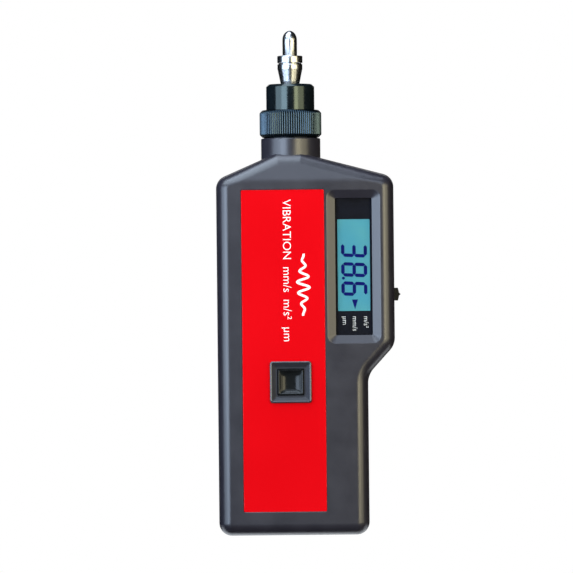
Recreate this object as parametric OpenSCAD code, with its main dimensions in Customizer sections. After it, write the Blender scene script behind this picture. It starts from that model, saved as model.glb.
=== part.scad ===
// Handheld vibration meter: a moulded two-part body with a measure key, a display
// and a side selector, and an accelerometer head with a steel contact tip.
// +Z runs up the body to the tip, the front faces -Y and X runs across.
// The origin is on the axis of the contact tip, on the flat base.

/* [Body] */
// Width of the grip
grip_w = 55; // [50:0.5:60]
// How far the display side stands out past the grip
bulge_w = 9.9; // [8:0.1:12]
// Height where the right side starts to step out
bulge_z = 58.4; // [55:0.2:61]
// Height that the step takes
bulge_rise = 10.9; // [9:0.1:13]
// Height of the body up to its crest in front of the neck
body_h = 139.8; // [137:0.2:144]
// Depth of the body from front face to back face
body_t = 29; // [28.4:0.1:31]
// Wall thickness of both casings
wall = 2.2; // [1.9:0.1:2.4]
// Drop from the crest to the left shoulder
left_drop = 9.6; // [8:0.1:11]
// Drop from the crest to the right shoulder
right_drop = 8.9; // [8:0.1:11]
// Reach of the crest to the left of the tip's axis
crest_left = 5.4; // [4:0.1:7]
// Reach of the crest to the right of the tip's axis
crest_right = 3.7; // [3:0.1:5]
// Radius of the front and back edges
edge_r = 4.1; // [3.4:0.1:4.4]
// Radius of the two corners at the base
foot_r = 4.7; // [3.6:0.1:6]
// Radius of the hollow where the step starts
step_in_r = 8; // [5:0.5:10]
// Radius of the bend where the step ends
step_out_r = 7; // [5:0.5:9]
// Radius of the shoulders
shoulder_r = 5; // [4:0.1:6.5]
// How far back the ramp under the neck leans
ramp_d = 2.4; // [1.6:0.1:2.8]
// Height of that ramp
ramp_h = 10.3; // [8:0.1:12]
// How far behind the middle of the body the casings meet
parting_y = 1; // [0.6:0.1:2]
// Width of the shadow gap between the casings
seam_gap = 0.3; // [0.2:0.05:0.5]

/* [Neck and ring] */
// Radius of the neck
neck_r = 10.9; // [10.6:0.1:11.4]
// Height of the neck above the crest
neck_h = 5.6; // [5:0.1:8]
// Radius of the knurled ring
ring_r = 11.35; // [11.2:0.05:12]
// Height of the knurled ring
ring_h = 10.1; // [9.8:0.1:12]
// Number of ridges on the ring
ring_ridges = 82; // [60:2:90]
// Depth of the knurl
knurl_d = 0.3; // [0.2:0.05:0.35]

/* [Sensor head] */
// Radius of the black sensor housing
head_r = 8.875; // [8.6:0.05:9]
// Height of the housing above the ring
head_h = 9.5; // [9:0.1:12]
// Radius of the contact tip's rod
rod_r = 2.68; // [2.2:0.05:3.2]
// Length of the rod up to its apex
rod_l = 9.3; // [8:0.1:12]
// Length of the rounded end of the rod
nose_l = 3.5; // [2.7:0.1:4]
// Radius of the tip's collar
collar_r = 4.65; // [4.2:0.05:5.2]
// Height of the collar
collar_h = 2.7; // [2:0.1:4]
// Radius of the bead under the collar
bead_r = 4.6; // [4.2:0.05:5]
// Height of the bead
bead_h = 1.9; // [1.4:0.1:3]
// Radius of the tip's foot on the housing
tip_foot_r = 3.45; // [3:0.05:4]
// Length of the taper from bead to foot
taper_l = 5.5; // [4:0.1:7]

/* [Label and display] */
// Border between the label and the left side
label_margin = 9; // [7:0.5:11]
// Border between the label and the base
label_rise = 8.7; // [6:0.1:12]
// Distance from the crest down to the label
label_drop = 13.4; // [12.6:0.1:18]
// Depth of the recess that holds the label
label_recess = 0.5; // [0.3:0.05:0.7]
// Thickness of the label
label_t = 0.3; // [0.15:0.05:0.35]
// Gap between the label and the display surround
label_gap = 0.85; // [0.6:0.05:1.4]
// Border between the surround and the right side
surround_margin = 5.1; // [4.6:0.1:5.6]
// Width of the sloping surround, outside
surround_w = 19.45; // [18.6:0.05:20]
// Distance from the top of the step up to the surround
surround_rise = 0.7; // [0.4:0.1:2]
// Distance from the right shoulder down to the surround
surround_drop = 4.8; // [4.4:0.1:7]
// Width of the surround's slope
slope_w = 3; // [2.4:0.1:3.2]
// Depth of the surround's slope
slope_d = 1.3; // [0.8:0.1:1.4]
// Thickness of the window
window_t = 1.1; // [0.8:0.1:1.3]

/* [Measure key] */
// Middle of the key across
key_x = -0.86; // [-3:0.02:1]
// Middle of the key up the body
key_z = 56.1; // [54.5:0.1:60]
// Outer width of the key's bezel
bezel_w = 15.2; // [14.8:0.1:17]
// How far the bezel's rim stands out from the label
bezel_rise = 1; // [0.7:0.1:1.2]
// Width of the bezel's square opening
key_hole_w = 9.8; // [9.2:0.1:10.2]
// How far the key travels
key_travel = 0.5; // [0.3:0.05:0.55]

/* [Mode selector] */
// Middle of the selector up the body
selector_z = 87.8; // [86:0.1:98]
// Length of the knob
knob_l = 4.7; // [4:0.1:6]
// How far the knob stands out from the side
knob_out = 2.3; // [1.8:0.1:3]
// Travel from the middle position to each end
selector_travel = 2; // [1.5:0.1:2.5]

/* [Inside] */
// Depth of the board's front below the front face
board_depth = 6.9; // [6.8:0.05:7.3]
// Thickness of the board
board_t = 1.6; // [1:0.1:1.7]
// Width of the battery
battery_w = 26.5; // [25:0.1:27]
// Depth of the battery
battery_t = 17.5; // [16:0.1:17.6]
// Height of the battery's case
battery_h = 46; // [44:0.5:47]
// Width of the battery door
door_w = 28.4; // [27.6:0.1:29]
// Height of the battery door
door_h = 57.5; // [56:0.5:58]
// Radius of the sensor lead
lead_r = 1; // [0.7:0.05:1.1]
// Radius of the battery wires
wire_r = 0.6; // [0.4:0.05:0.8]

/* [Hidden] */
$fn = 48;

// Clearances and the overrun of cuts
fit_gap = 0.1;
run_gap = 0.08;
move_gap = 0.3;
over = 1;

// Body: outline, edges and the planes that everything hangs on
arc_steps = 5;
edge_steps = 6;
inner_steps = 3;
min_r = 0.8;
plate_in = 0.2;
band_w = 0.6;
ease_in = 0.4;
ease_l = 1.9;
seam_w = 0.8;
roof_t = 6.5;
face_y = -body_t / 2;
back_y = body_t / 2;
inner_face_y = face_y + wall;
inner_back_y = back_y - wall;
half_w = grip_w / 2;
right_x = half_w + bulge_w;
step_top_z = bulge_z + bulge_rise;
left_z = body_h - left_drop;
right_z = body_h - right_drop;
ramp_z = body_h - ramp_h;
flat_in = ease_in + edge_r;
inner_edge_r = edge_r - wall;

// Corners of the outline, going round with the solid on the left: x, z, radius
outer_corners = [
    [-half_w, 0, foot_r],
    [half_w, 0, foot_r],
    [half_w, bulge_z, step_in_r],
    [right_x, step_top_z, step_out_r],
    [right_x, right_z, shoulder_r],
    [crest_right, body_h, min_r],
    [-crest_left, body_h, min_r],
    [-half_w, left_z, shoulder_r]];
// The cavity keeps a thick roof under the neck
cavity_corners = [for (c = outer_corners)
    c[1] == body_h ? [c[0], c[1] - roof_t, c[2]] : c];

function xz(c) = [c[0], c[1]];
function unit(v) = v / norm(v);
function left_of(v) = [-v[1], v[0]];
// A fillet of radius r where direction u turns into direction v at p
function fillet(p, u, v, r) = let(
    side = cross(u, v) < 0 ? -1 : 1,
    turn = acos(u * v),
    centre = p - u * r * tan(turn / 2) + side * r * left_of(u))
    [for (k = [0 : arc_steps]) let(a = turn * k / arc_steps)
        centre + r * (u * sin(a) - side * left_of(u) * cos(a))];
// The outline moved inwards by d, with its corners rounded
function outline(corners, d) = [for (i = [0 : len(corners) - 1]) let(
    here = xz(corners[i]),
    u = unit(here - xz(corners[(i + len(corners) - 1) % len(corners)])),
    v = unit(xz(corners[(i + 1) % len(corners)]) - here),
    p = here + d * (left_of(u) + left_of(v)) / (1 + u * v),
    bends_out = cross(u, v) > 0,
    r = bends_out ? max(corners[i][2] - d, min_r) : corners[i][2] + d)
    each fillet(p, u, v, r)];

// Levels of the outer skin, from the face back: inset, y
function outer_levels() = concat(
    [for (k = [edge_steps : -1 : 0]) let(a = 90 * k / edge_steps)
        [ease_in + edge_r * (1 - cos(a)), face_y + edge_r * (1 - sin(a))]],
    [[0, face_y + edge_r + ease_l]]);
function inner_levels() = [for (k = [0 : inner_steps]) let(a = 90 * k / inner_steps)
    [flat_in - inner_edge_r * cos(a), inner_face_y + inner_edge_r * (1 - sin(a))]];
function rim_levels(rim_y, seam) = seam == 0
    ? [[0, rim_y]]
    : [[0, rim_y - seam], [seam_w, rim_y - seam], [seam_w, rim_y]];

// The rounded frame of a casing half: a closed loop of levels with an open middle
module casing_frame(rim_y, seam) {
    outer = concat([[flat_in + band_w, face_y]], outer_levels(), rim_levels(rim_y, seam));
    inner = concat([[wall, rim_y]], inner_levels(), [[flat_in + band_w, inner_face_y]]);
    rings = concat(
        [for (l = outer) [for (p = outline(l[0] > flat_in ? cavity_corners : outer_corners, l[0]))
            [p[0], l[1], p[1]]]],
        [for (l = inner) [for (p = outline(cavity_corners, l[0])) [p[0], l[1], p[1]]]]);
    n = len(rings[0]);
    m = len(rings);
    polyhedron(
        points = [for (r = rings) each r],
        faces = [for (j = [0 : m - 1], i = [0 : n - 1]) let(k = (i + 1) % n, next = (j + 1) % m)
            each [[j * n + i, j * n + k, next * n + k],
                  [j * n + i, next * n + k, next * n + i]]],
        convexity = 8);
}

// One casing half without its openings: the frame and the flat plate in its middle
module casing_shell(rim_y, seam) {
    casing_frame(rim_y, seam);
    translate([0, inner_face_y, 0]) rotate([90, 0, 0])
        linear_extrude(wall) polygon(outline(cavity_corners, flat_in + plate_in));
}

// A box given by its two opposite corners
module span(low, high) {
    translate(low) cube(high - low);
}

// A round rod along Y between two depths
module rod_y(x, z, r, y0, y1) {
    translate([x, y0, z]) rotate([-90, 0, 0]) cylinder(r = r, h = y1 - y0);
}

// A rounded square bar along Y between two depths, on a middle point
module rounded_bar(x, z, w, h, r, y0, y1) {
    translate([x, y1, z]) rotate([90, 0, 0]) linear_extrude(y1 - y0) union() {
        square([w - 2 * r, h], center = true);
        square([w, h - 2 * r], center = true);
        for (sx = [-1, 1], sz = [-1, 1])
            translate([sx * (w / 2 - r), sz * (h / 2 - r)]) circle(r = r);
    }
}

// Label, surround and window
surround_right = right_x - surround_margin;
surround_left = surround_right - surround_w;
surround_bottom = step_top_z + surround_rise;
surround_top = right_z - surround_drop;
surround_r = 2;
window_r = 0.5;
window_x = (surround_left + surround_right) / 2;
window_z = (surround_bottom + surround_top) / 2;
window_w = surround_w - 2 * slope_w;
window_h = surround_top - surround_bottom - 2 * slope_w;
window_lip = 1;
land_d = 0.5;
window_y = face_y + slope_d + land_d;
glass_gap = 0.1;
pocket_gap = 0.2;
pocket_t = 0.9;
pocket_d = 3.3;
pocket_w = window_w + 2 * (window_lip + pocket_gap);
pocket_h = window_h + 2 * (window_lip + pocket_gap);
label_left = -half_w + label_margin;
label_right = surround_left - label_gap;
label_top = body_h - label_drop;
label_w = label_right - label_left;
label_h = label_top - label_rise;
label_x = (label_left + label_right) / 2;
label_z = (label_top + label_rise) / 2;
label_r = 0.5;
label_floor_y = face_y + label_recess;
label_y = label_floor_y - label_t;

// Board and what it carries
board_y = face_y + board_depth;
board_back_y = board_y + board_t;
board_gap = 1.2;
board_below_key = 12;
board_drop = 4.7;
board_step_rise = 2.7;
board_bottom = key_z - board_below_key;
board_top = left_z - board_drop;
board_step_z = step_top_z + board_step_rise;
glass_w = window_w + 2 * window_lip;
glass_cut = 8.1;
glass_h = window_h - glass_cut;
glass_t = 2.2;
glass_y = window_y + window_t + glass_gap;
strip_w = 1.6;
strip_cut = 4;
strip_h = glass_h - strip_cut;
strip_in = 0.3;
reflector_t = 1.3;
post_r = 2.3;
board_screw_r = 0.85;
board_head_r = 1.8;
board_head_h = 1.3;
board_screw_l = 4.2;
board_post_in = 4.8;
board_screw_low = 6;
board_screw_high = 19.7;
board_screw_left_x = -half_w + wall + board_post_in;
board_screw_right_x = surround_left - pocket_gap - pocket_t - post_r;
board_screw_spots = [for (x = [board_screw_left_x, board_screw_right_x],
    z = [board_step_z - board_screw_low, board_top - board_screw_high]) [x, z]];

// Chips and capacitors on the board's back
chip_w = 12;
chip_h = 1.6;
chip_x = -10.5;
chip_drop = 16;
pin_l = 1;
pin_w = 0.4;
pin_pitch = 0.8;
pin_t = 0.3;
amp_w = 4;
amp_l = 5;
amp_pitch = 9;
amp_drop = 18.7;
amp_z = board_top - amp_drop;
chip_z = amp_z - chip_drop;
cap_r = 2.5;
cap_h = 5;
cap_pitch = 6.5;
cap_in = 5;
cap_rise = 6;
cap_x = surround_left + cap_in;
cap_z = board_step_z + cap_rise;

// Casing screws and their bosses
screw_r = 1.45;
screw_head_r = 2.7;
screw_head_h = 1.9;
screw_l = 13.5;
screw_slot_w = 0.9;
screw_slot_d = 0.9;
slot_reach_share = 0.65;
board_slot_w = 0.5;
board_slot_d = 0.6;
front_boss_r = 3;
rear_boss_r = 4.3;
counterbore_r = 3.1;
head_seat_y = 6.5;
foot_screw_in = 5;
foot_screw_z = 10;
top_screw_drop = 8.2;
top_screw_in = 4.4;
top_screw_z = left_z - top_screw_drop;
foot_screw_x = half_w - wall - foot_screw_in;
screw_spots = [
    [-foot_screw_x, foot_screw_z],
    [foot_screw_x, foot_screw_z],
    [board_screw_left_x, top_screw_z],
    [surround_left - top_screw_in, top_screw_z]];

// Measure key
bezel_r = 1;
bezel_lip = 0.5;
bezel_floor_w = 11.4;
bezel_floor_d = 0.2;
bezel_wall = 0.6;
key_ring_t = 0.9;
bezel_flange = 1;
bezel_neck_w = bezel_w - 2 * bezel_flange;
bezel_rim_y = label_y - bezel_rise;
bezel_floor_y = label_y + bezel_floor_d;
key_ring_y = bezel_floor_y + key_ring_t;
key_flange_t = 0.8;
key_flange_y = key_ring_y + move_gap;
key_back_y = key_flange_y + key_flange_t;
bezel_back_y = key_back_y + key_travel;
key_w = key_hole_w - 2 * move_gap;
key_proud = 0.5;
key_top_y = bezel_floor_y - key_proud;
key_r = 0.4;
key_flange_w = bezel_neck_w - 2 * (bezel_wall + move_gap);
dish_rim = 0.4;
dish_d = 1.1;
dish_half = key_w / 2 - dish_rim;
dish_r = (dish_half * dish_half + dish_d * dish_d) / (2 * dish_d);
key_boss_r = 2.2;
key_boss_t = 0.2;
plunger_r = 1.7;
plunger_y = key_back_y + key_boss_t;
switch_w = 6;
switch_front_y = plunger_y + key_travel + move_gap;
plunger_in = 1.4;

// Mode selector
knob_t = 3.2;
knob_rise = 3.3;
knob_y = board_back_y + knob_rise;
nib_half = 0.3;
nib_out = 0.4;
hump_share = 0.6;
slot_half_z = knob_l / 2 + selector_travel + move_gap;
slot_half_y = knob_t / 2 + move_gap;
shutter_t = 0.6;
shutter_x = right_x - wall - move_gap - shutter_t;
shutter_half_z = slot_half_z + selector_travel + move_gap;
shutter_side = 0.5;
shutter_half_y = slot_half_y + shutter_side;
slider_l = 2.6;
slider_t = 2.4;
slider_in = 2;
slide_body_x = shutter_x - move_gap;
slide_body_w = 6;
slide_body_end = 1.6;
slide_body_roof = 1.3;
slide_body_l = 2 * (slider_l / 2 + selector_travel + slide_body_end);
slide_body_h = knob_rise + slider_t / 2 + slide_body_roof;
slide_hole_in = slider_in + move_gap;

// Neck, sleeve and ring
neck_top = body_h + neck_h;
neck_root = 4;
sleeve_r = 8;
sleeve_bore_r = 6;
thread_r = 9.8;
thread_h = 6.6;
groove_r = 9.4;
groove_h = 1.8;
groove_drop = 7.4;
groove_z = neck_top - groove_drop;
flange_r = groove_r - fit_gap;
flange_h = groove_h - 2 * fit_gap;
sleeve_tail = 3;
seat_z = neck_top + thread_h;
gasket_in_r = 7.9;
gasket_out_r = 9;
gasket_t = 0.8;
ring_z = neck_top + move_gap;
ring_top = ring_z + ring_h;
ring_bore_r = thread_r + run_gap;
ring_chamfer = 1;
root_r = ring_r - knurl_d;
root_step = 0.1;

// Sensor head
tip_gap = 0.05;
head_flange_r = thread_r - tip_gap;
head_flange_h = 2;
head_top = ring_top + head_h;
head_chamfer = 1;
lip_z = seat_z + head_flange_h + move_gap;
cavity_r = 6.6;
head_roof = 4;
cavity_top = head_top - head_roof;
base_r = 7.4;
base_t = 1.2;
lead_hole_gap = 0.1;
stud_r = 2.5;
stud_l = 1.9;
bolt_r = 1.5;
bolt_in = 1.8;
piezo_r = 5;
piezo_t = 1.4;
piezo_hole_r = bolt_r + fit_gap;
mass_r = 5.6;
mass_h = 4.2;
bolt_head_r = 2.75;
bolt_head_h = 1.8;
piezo_z = cavity_top - piezo_t;
mass_z = piezo_z - mass_h;
bolt_head_z = mass_z - bolt_head_h;

// Contact tip
tip_z = head_top + tip_gap;
bead_z = tip_z + taper_l;
groove_gap = 0.3;
groove_in = 0.3;
edge_c = 0.2;
nose_steps = 10;

// Battery bay
bay_gap = 0.5;
bay_front_y = board_back_y + bay_gap;
battery_rise = 1.8;
battery_z = wall + battery_rise;
bay_side = 2.95;
bay_half = battery_w / 2 + bay_side;
bay_wall = 1.2;
bay_rib_t = 1.6;
bay_rib_shares = [0.2, 0.85];
bay_side_gap = 0.35;
bay_roof_gap = 4.4;
door_gap = 0.3;
door_tab_w = 1.4;
door_tab_t = 1;
door_tab_z0 = 8;
door_lip_t = 0.8;
door_front_y = 5;
grip_grooves = 5;
grip_groove_w = 16;
grip_groove_h = 0.9;
grip_groove_d = 0.5;
grip_pitch = 1.8;
grip_drop = 5;
terminal_x = 6.35;
plus_r = 2.9;
minus_r = 3.9;
terminal_h = 2.4;
snap_t = 4;
snap_d = 12.5;
snap_edge = 0.5;
wire_x = 2.2;
wire_bend_r = 3;
wire_rise = 8;
wire_room = 0.8;
wire_way_half = wire_x + wire_r + wire_room;
wire_way_y = wire_r + wire_room;
battery_y = bay_front_y + battery_t / 2;
terminal_z = battery_z + battery_h;
snap_top = terminal_z + fit_gap + snap_t;
bay_roof_z = snap_top + bay_roof_gap;
lead_bend_r = 3;
lead_down = 5;

module neck_half(front) {
    difference() {
        translate([0, 0, body_h - neck_root]) cylinder(r = neck_r, h = neck_root + neck_h);
        if (front) {
            span([-neck_r - over, parting_y, body_h - neck_root - over],
                 [neck_r + over, neck_r + over, neck_top + over]);
        } else {
            span([-neck_r - over, -neck_r - over, body_h - neck_root - over],
                 [neck_r + over, parting_y, neck_top + over]);
        }
    }
}

// The bore for the sleeve, with the groove that holds its flange
module sleeve_room() {
    translate([0, 0, body_h - roof_t - wall - over])
        cylinder(r = sleeve_r + fit_gap, h = neck_h + roof_t + wall + 2 * over);
    translate([0, 0, groove_z]) cylinder(r = groove_r, h = groove_h);
}

// The sloping surround, the land and the seat of the window
module window_cut() {
    hull() {
        rounded_bar(window_x, window_z, surround_w + 2 * slope_w, surround_top - surround_bottom
            + 2 * slope_w, surround_r + slope_w, face_y - slope_d - over, face_y - slope_d);
        rounded_bar(window_x, window_z, window_w, window_h, window_r,
            face_y + slope_d, face_y + slope_d + fit_gap);
    }
    rounded_bar(window_x, window_z, window_w, window_h, window_r, face_y, inner_face_y + over);
    rounded_bar(window_x, window_z, glass_w + 2 * fit_gap, window_h + 2 * (window_lip + fit_gap),
        window_r, window_y, inner_face_y + over);
}

// The ramp under the neck leans back from the front face
module ramp_cut() {
    lean = atan(ramp_d / ramp_h);
    translate([-right_x, face_y, ramp_z]) rotate([-lean, 0, 0])
        translate([0, -body_t, 0]) cube([2 * right_x, body_t, 2 * ramp_h]);
}

module front_casing() {
    color("#45454d") difference() {
        union() {
            difference() {
                casing_shell(parting_y, 0);
                ramp_cut();
            }
            neck_half(true);
            for (s = screw_spots) rod_y(s[0], s[1], front_boss_r, inner_face_y - fit_gap, parting_y);
            for (s = board_screw_spots) rod_y(s[0], s[1], post_r, inner_face_y - fit_gap, board_y);
            difference() {
                rounded_bar(window_x, window_z, pocket_w + 2 * pocket_t, pocket_h + 2 * pocket_t,
                    pocket_t, inner_face_y - fit_gap, inner_face_y + pocket_d);
                rounded_bar(window_x, window_z, pocket_w, pocket_h, window_r,
                    inner_face_y - over, inner_face_y + pocket_d + over);
            }
        }
        sleeve_room();
        window_cut();
        rounded_bar(label_x, label_z, label_w, label_h, label_r, face_y - over, label_floor_y);
        rounded_bar(key_x, key_z, bezel_neck_w + 2 * fit_gap, bezel_neck_w + 2 * fit_gap, bezel_r,
            face_y - over, inner_face_y + over);
        span([right_x - wall - over, knob_y - slot_half_y, selector_z - slot_half_z],
             [right_x + over, knob_y + slot_half_y, selector_z + slot_half_z]);
        for (s = screw_spots)
            rod_y(s[0], s[1], screw_r + fit_gap, head_seat_y - screw_l - over, parting_y + over);
        for (s = board_screw_spots)
            rod_y(s[0], s[1], board_screw_r + fit_gap, board_back_y - board_screw_l - fit_gap,
                board_y + over);
    }
}

// The room that the door takes out of the rear casing, with the rebates for its tabs
module door_room() {
    span([-door_w / 2 - door_gap, door_front_y - door_gap, -over],
         [door_w / 2 + door_gap, back_y + over, door_h + door_gap]);
    span([-door_w / 2 - door_tab_w - door_gap, inner_back_y - over, -over],
         [door_w / 2 + door_tab_w + door_gap, back_y - door_lip_t, door_h + door_gap]);
}

module battery_bay() {
    for (s = [-1, 1]) {
        span([s * bay_half - (s < 0 ? bay_wall : 0), bay_front_y, wall - fit_gap],
             [s * bay_half + (s > 0 ? bay_wall : 0), inner_back_y + fit_gap, bay_roof_z + bay_wall]);
        for (f = bay_rib_shares) {
            near = battery_w / 2 + bay_side_gap;
            z0 = battery_z + f * battery_h;
            span([s < 0 ? -bay_half : near, bay_front_y, z0],
                 [s < 0 ? -near : bay_half, inner_back_y - door_tab_t - door_gap, z0 + bay_rib_t]);
        }
    }
    difference() {
        span([-bay_half - bay_wall, bay_front_y, bay_roof_z],
             [bay_half + bay_wall, inner_back_y + fit_gap, bay_roof_z + bay_wall]);
        span([-wire_way_half, battery_y - wire_way_y, bay_roof_z - over],
             [wire_way_half, battery_y + wire_way_y, bay_roof_z + bay_wall + over]);
    }
}

module rear_casing() {
    color("#45454d") difference() {
        union() {
            mirror([0, 1, 0]) casing_shell(-parting_y, seam_gap);
            neck_half(false);
            for (s = screw_spots) rod_y(s[0], s[1], rear_boss_r, parting_y, inner_back_y + fit_gap);
            battery_bay();
        }
        sleeve_room();
        door_room();
        for (s = screw_spots) {
            rod_y(s[0], s[1], screw_r + fit_gap, parting_y - over, head_seat_y + over);
            rod_y(s[0], s[1], counterbore_r, head_seat_y, back_y + over);
        }
    }
}

module battery_door() {
    color("#45454d") difference() {
        union() {
            intersection() {
                mirror([0, 1, 0]) casing_shell(-parting_y, seam_gap);
                span([-door_w / 2, door_front_y, -over], [door_w / 2, back_y + over, door_h]);
            }
            for (s = [-1, 1])
                span([s < 0 ? -door_w / 2 - door_tab_w : door_w / 2 - over, inner_back_y + fit_gap,
                      door_tab_z0],
                     [s < 0 ? -door_w / 2 + over : door_w / 2 + door_tab_w,
                      inner_back_y + door_tab_t, door_h - door_gap]);
        }
        for (i = [0 : grip_grooves - 1]) {
            z0 = door_h - grip_drop - i * grip_pitch;
            span([-grip_groove_w / 2, back_y - grip_groove_d, z0 - grip_groove_h],
                 [grip_groove_w / 2, back_y + over, z0]);
        }
    }
}

module front_label() {
    color("#e8101c") difference() {
        rounded_bar(label_x, label_z, label_w - 2 * fit_gap, label_h - 2 * fit_gap, label_r,
            label_y, label_floor_y);
        rounded_bar(key_x, key_z, bezel_neck_w + 2 * fit_gap, bezel_neck_w + 2 * fit_gap, bezel_r,
            label_y - over, label_floor_y + over);
    }
}

module display_window() {
    color("#15161f") rounded_bar(window_x, window_z, glass_w, window_h + 2 * window_lip, window_r,
        window_y, window_y + window_t);
}

module lcd_glass() {
    color("#60b5c0") rounded_bar(window_x, window_z, glass_w, glass_h, window_r,
        glass_y, glass_y + glass_t);
}

module lcd_reflector() {
    w = glass_w - 2 * (strip_in + strip_w + fit_gap);
    color("white") rounded_bar(window_x, window_z, w, strip_h, window_r,
        glass_y + glass_t, glass_y + glass_t + reflector_t);
}

module zebra_strips() {
    color("#202024") for (s = [-1, 1])
        rounded_bar(window_x + s * (glass_w / 2 - strip_in - strip_w / 2), window_z, strip_w, strip_h,
            fit_gap, glass_y + glass_t, board_y);
}

module main_board() {
    left = -half_w + wall + board_gap;
    grip_right = half_w - wall - board_gap;
    right = right_x - wall - board_gap;
    color("#1f6b3a") difference() {
        translate([0, board_back_y, 0]) rotate([90, 0, 0]) linear_extrude(board_t) polygon([
            [left, board_bottom], [grip_right, board_bottom], [grip_right, board_step_z],
            [right, board_step_z], [right, board_top], [left, board_top]]);
        for (s = screw_spots)
            rod_y(s[0], s[1], front_boss_r + pocket_gap, board_y - over, board_back_y + over);
        for (s = board_screw_spots)
            rod_y(s[0], s[1], board_screw_r + fit_gap, board_y - over, board_back_y + over);
    }
}

// A flat chip on the back of the board, with rows of pins on two or four sides
module chip(x, z, w, l, rows) {
    span([x - w / 2, board_back_y, z - l / 2], [x + w / 2, board_back_y + chip_h, z + l / 2]);
    for (turn = rows == 4 ? [0, 90] : [0]) translate([x, board_back_y, z]) rotate([0, turn, 0])
        for (i = [0 : (turn == 0 ? l : w) / pin_pitch - 3]) {
            reach = (turn == 0 ? w : l) / 2 + pin_l;
            z0 = (i + 1.5) * pin_pitch - (turn == 0 ? l : w) / 2 - pin_w / 2;
            translate([-reach, 0, z0]) cube([2 * reach, pin_t, pin_w]);
        }
}

module processor_chip() {
    color("#1c1c20") chip(chip_x, chip_z, chip_w, chip_w, 4);
}

module amplifier_chips() {
    color("#242428") for (i = [0, 1]) chip(chip_x - amp_pitch * (i - 0.5), amp_z, amp_w, amp_l, 2);
}

module capacitors() {
    color("#8a8f98") for (i = [0 : 2])
        rod_y(cap_x, cap_z + i * cap_pitch, cap_r, board_back_y, board_back_y + cap_h);
}

module button_bezel() {
    color("#4a4b55") difference() {
        union() {
            rounded_bar(key_x, key_z, bezel_w, bezel_w, bezel_r, bezel_rim_y, label_y);
            rounded_bar(key_x, key_z, bezel_neck_w, bezel_neck_w, bezel_r - fit_gap,
                label_y - over / 2, bezel_back_y);
        }
        hull() {
            rounded_bar(key_x, key_z, bezel_w - 2 * bezel_lip, bezel_w - 2 * bezel_lip,
                bezel_r - bezel_lip, bezel_rim_y - fit_gap, bezel_rim_y);
            rounded_bar(key_x, key_z, bezel_floor_w, bezel_floor_w, key_r,
                bezel_floor_y - fit_gap, bezel_floor_y);
        }
        rounded_bar(key_x, key_z, key_hole_w, key_hole_w, key_r, bezel_rim_y, bezel_back_y);
        rounded_bar(key_x, key_z, key_flange_w + 2 * move_gap, key_flange_w + 2 * move_gap, key_r,
            key_ring_y, bezel_back_y + over);
    }
}

module measure_button() {
    color("#17191a") difference() {
        union() {
            rounded_bar(key_x, key_z, key_w, key_w, key_r, key_top_y, key_back_y);
            rounded_bar(key_x, key_z, key_flange_w, key_flange_w, key_r, key_flange_y, key_back_y);
            rod_y(key_x, key_z, key_boss_r, key_back_y - fit_gap, key_back_y + key_boss_t);
        }
        translate([key_x, key_top_y + dish_d - dish_r, key_z]) sphere(r = dish_r);
    }
}

module key_switch() {
    color("#2a2a2e") difference() {
        rounded_bar(key_x, key_z, switch_w, switch_w, key_r, switch_front_y, board_y);
        rod_y(key_x, key_z, plunger_r + run_gap, switch_front_y - over,
            switch_front_y + plunger_in + key_travel + move_gap);
    }
}

module key_plunger() {
    color("#c8402c") rod_y(key_x, key_z, plunger_r, plunger_y, switch_front_y + plunger_in);
}

module slide_switch() {
    half_z = slider_l / 2 + selector_travel + move_gap;
    half_y = slider_t / 2 + move_gap;
    color("#b8bcc2") difference() {
        span([slide_body_x - slide_body_w, board_back_y, selector_z - slide_body_l / 2],
             [slide_body_x, board_back_y + slide_body_h, selector_z + slide_body_l / 2]);
        span([slide_body_x - slide_hole_in, knob_y - half_y, selector_z - half_z],
             [slide_body_x + over, knob_y + half_y, selector_z + half_z]);
    }
}

module switch_slider() {
    color("#1c1c20") span([slide_body_x - slider_in, knob_y - slider_t / 2, selector_z - slider_l / 2],
        [shutter_x, knob_y + slider_t / 2, selector_z + slider_l / 2]);
}

// The knob: a shutter behind the wall and a block through the slot, humped with a nib
module mode_knob() {
    tip_x = right_x + knob_out;
    crown_x = tip_x - nib_out;
    end_x = right_x + hump_share * knob_out;
    half = knob_l / 2;
    color("#1b1c20") union() {
        span([shutter_x, knob_y - shutter_half_y, selector_z - shutter_half_z],
             [shutter_x + shutter_t, knob_y + shutter_half_y, selector_z + shutter_half_z]);
        translate([0, knob_y + knob_t / 2, selector_z]) rotate([90, 0, 0]) linear_extrude(knob_t)
            polygon([[shutter_x + shutter_t / 2, -half], [end_x, -half], [crown_x, -nib_half],
                [tip_x, 0], [crown_x, nib_half], [end_x, half], [shutter_x + shutter_t / 2, half]]);
    }
}

module neck_sleeve() {
    color("#b9a25e") difference() {
        union() {
            translate([0, 0, groove_z - sleeve_tail])
                cylinder(r = sleeve_r, h = neck_top - groove_z + sleeve_tail + fit_gap);
            translate([0, 0, groove_z + fit_gap]) cylinder(r = flange_r, h = flange_h);
            translate([0, 0, neck_top]) cylinder(r = thread_r, h = thread_h);
        }
        translate([0, 0, groove_z - sleeve_tail - over])
            cylinder(r = sleeve_bore_r, h = seat_z - groove_z + sleeve_tail + 2 * over);
        translate([0, 0, seat_z - gasket_t]) difference() {
            cylinder(r = gasket_out_r + fit_gap, h = gasket_t + over);
            translate([0, 0, -over]) cylinder(r = gasket_in_r - fit_gap, h = gasket_t + 3 * over);
        }
    }
}

module seal_ring() {
    color("#202020") translate([0, 0, seat_z - gasket_t]) difference() {
        cylinder(r = gasket_out_r, h = gasket_t);
        translate([0, 0, -over]) cylinder(r = gasket_in_r, h = gasket_t + 2 * over);
    }
}

// Straight knurl: a root circle with a ridge on each pitch
function knurl_points() = [for (i = [0 : ring_ridges - 1], tip = [0, 1])
    let(a = 360 * (i + tip / 2) / ring_ridges, r = tip == 1 ? ring_r : root_r)
    [r * cos(a), r * sin(a)]];

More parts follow.
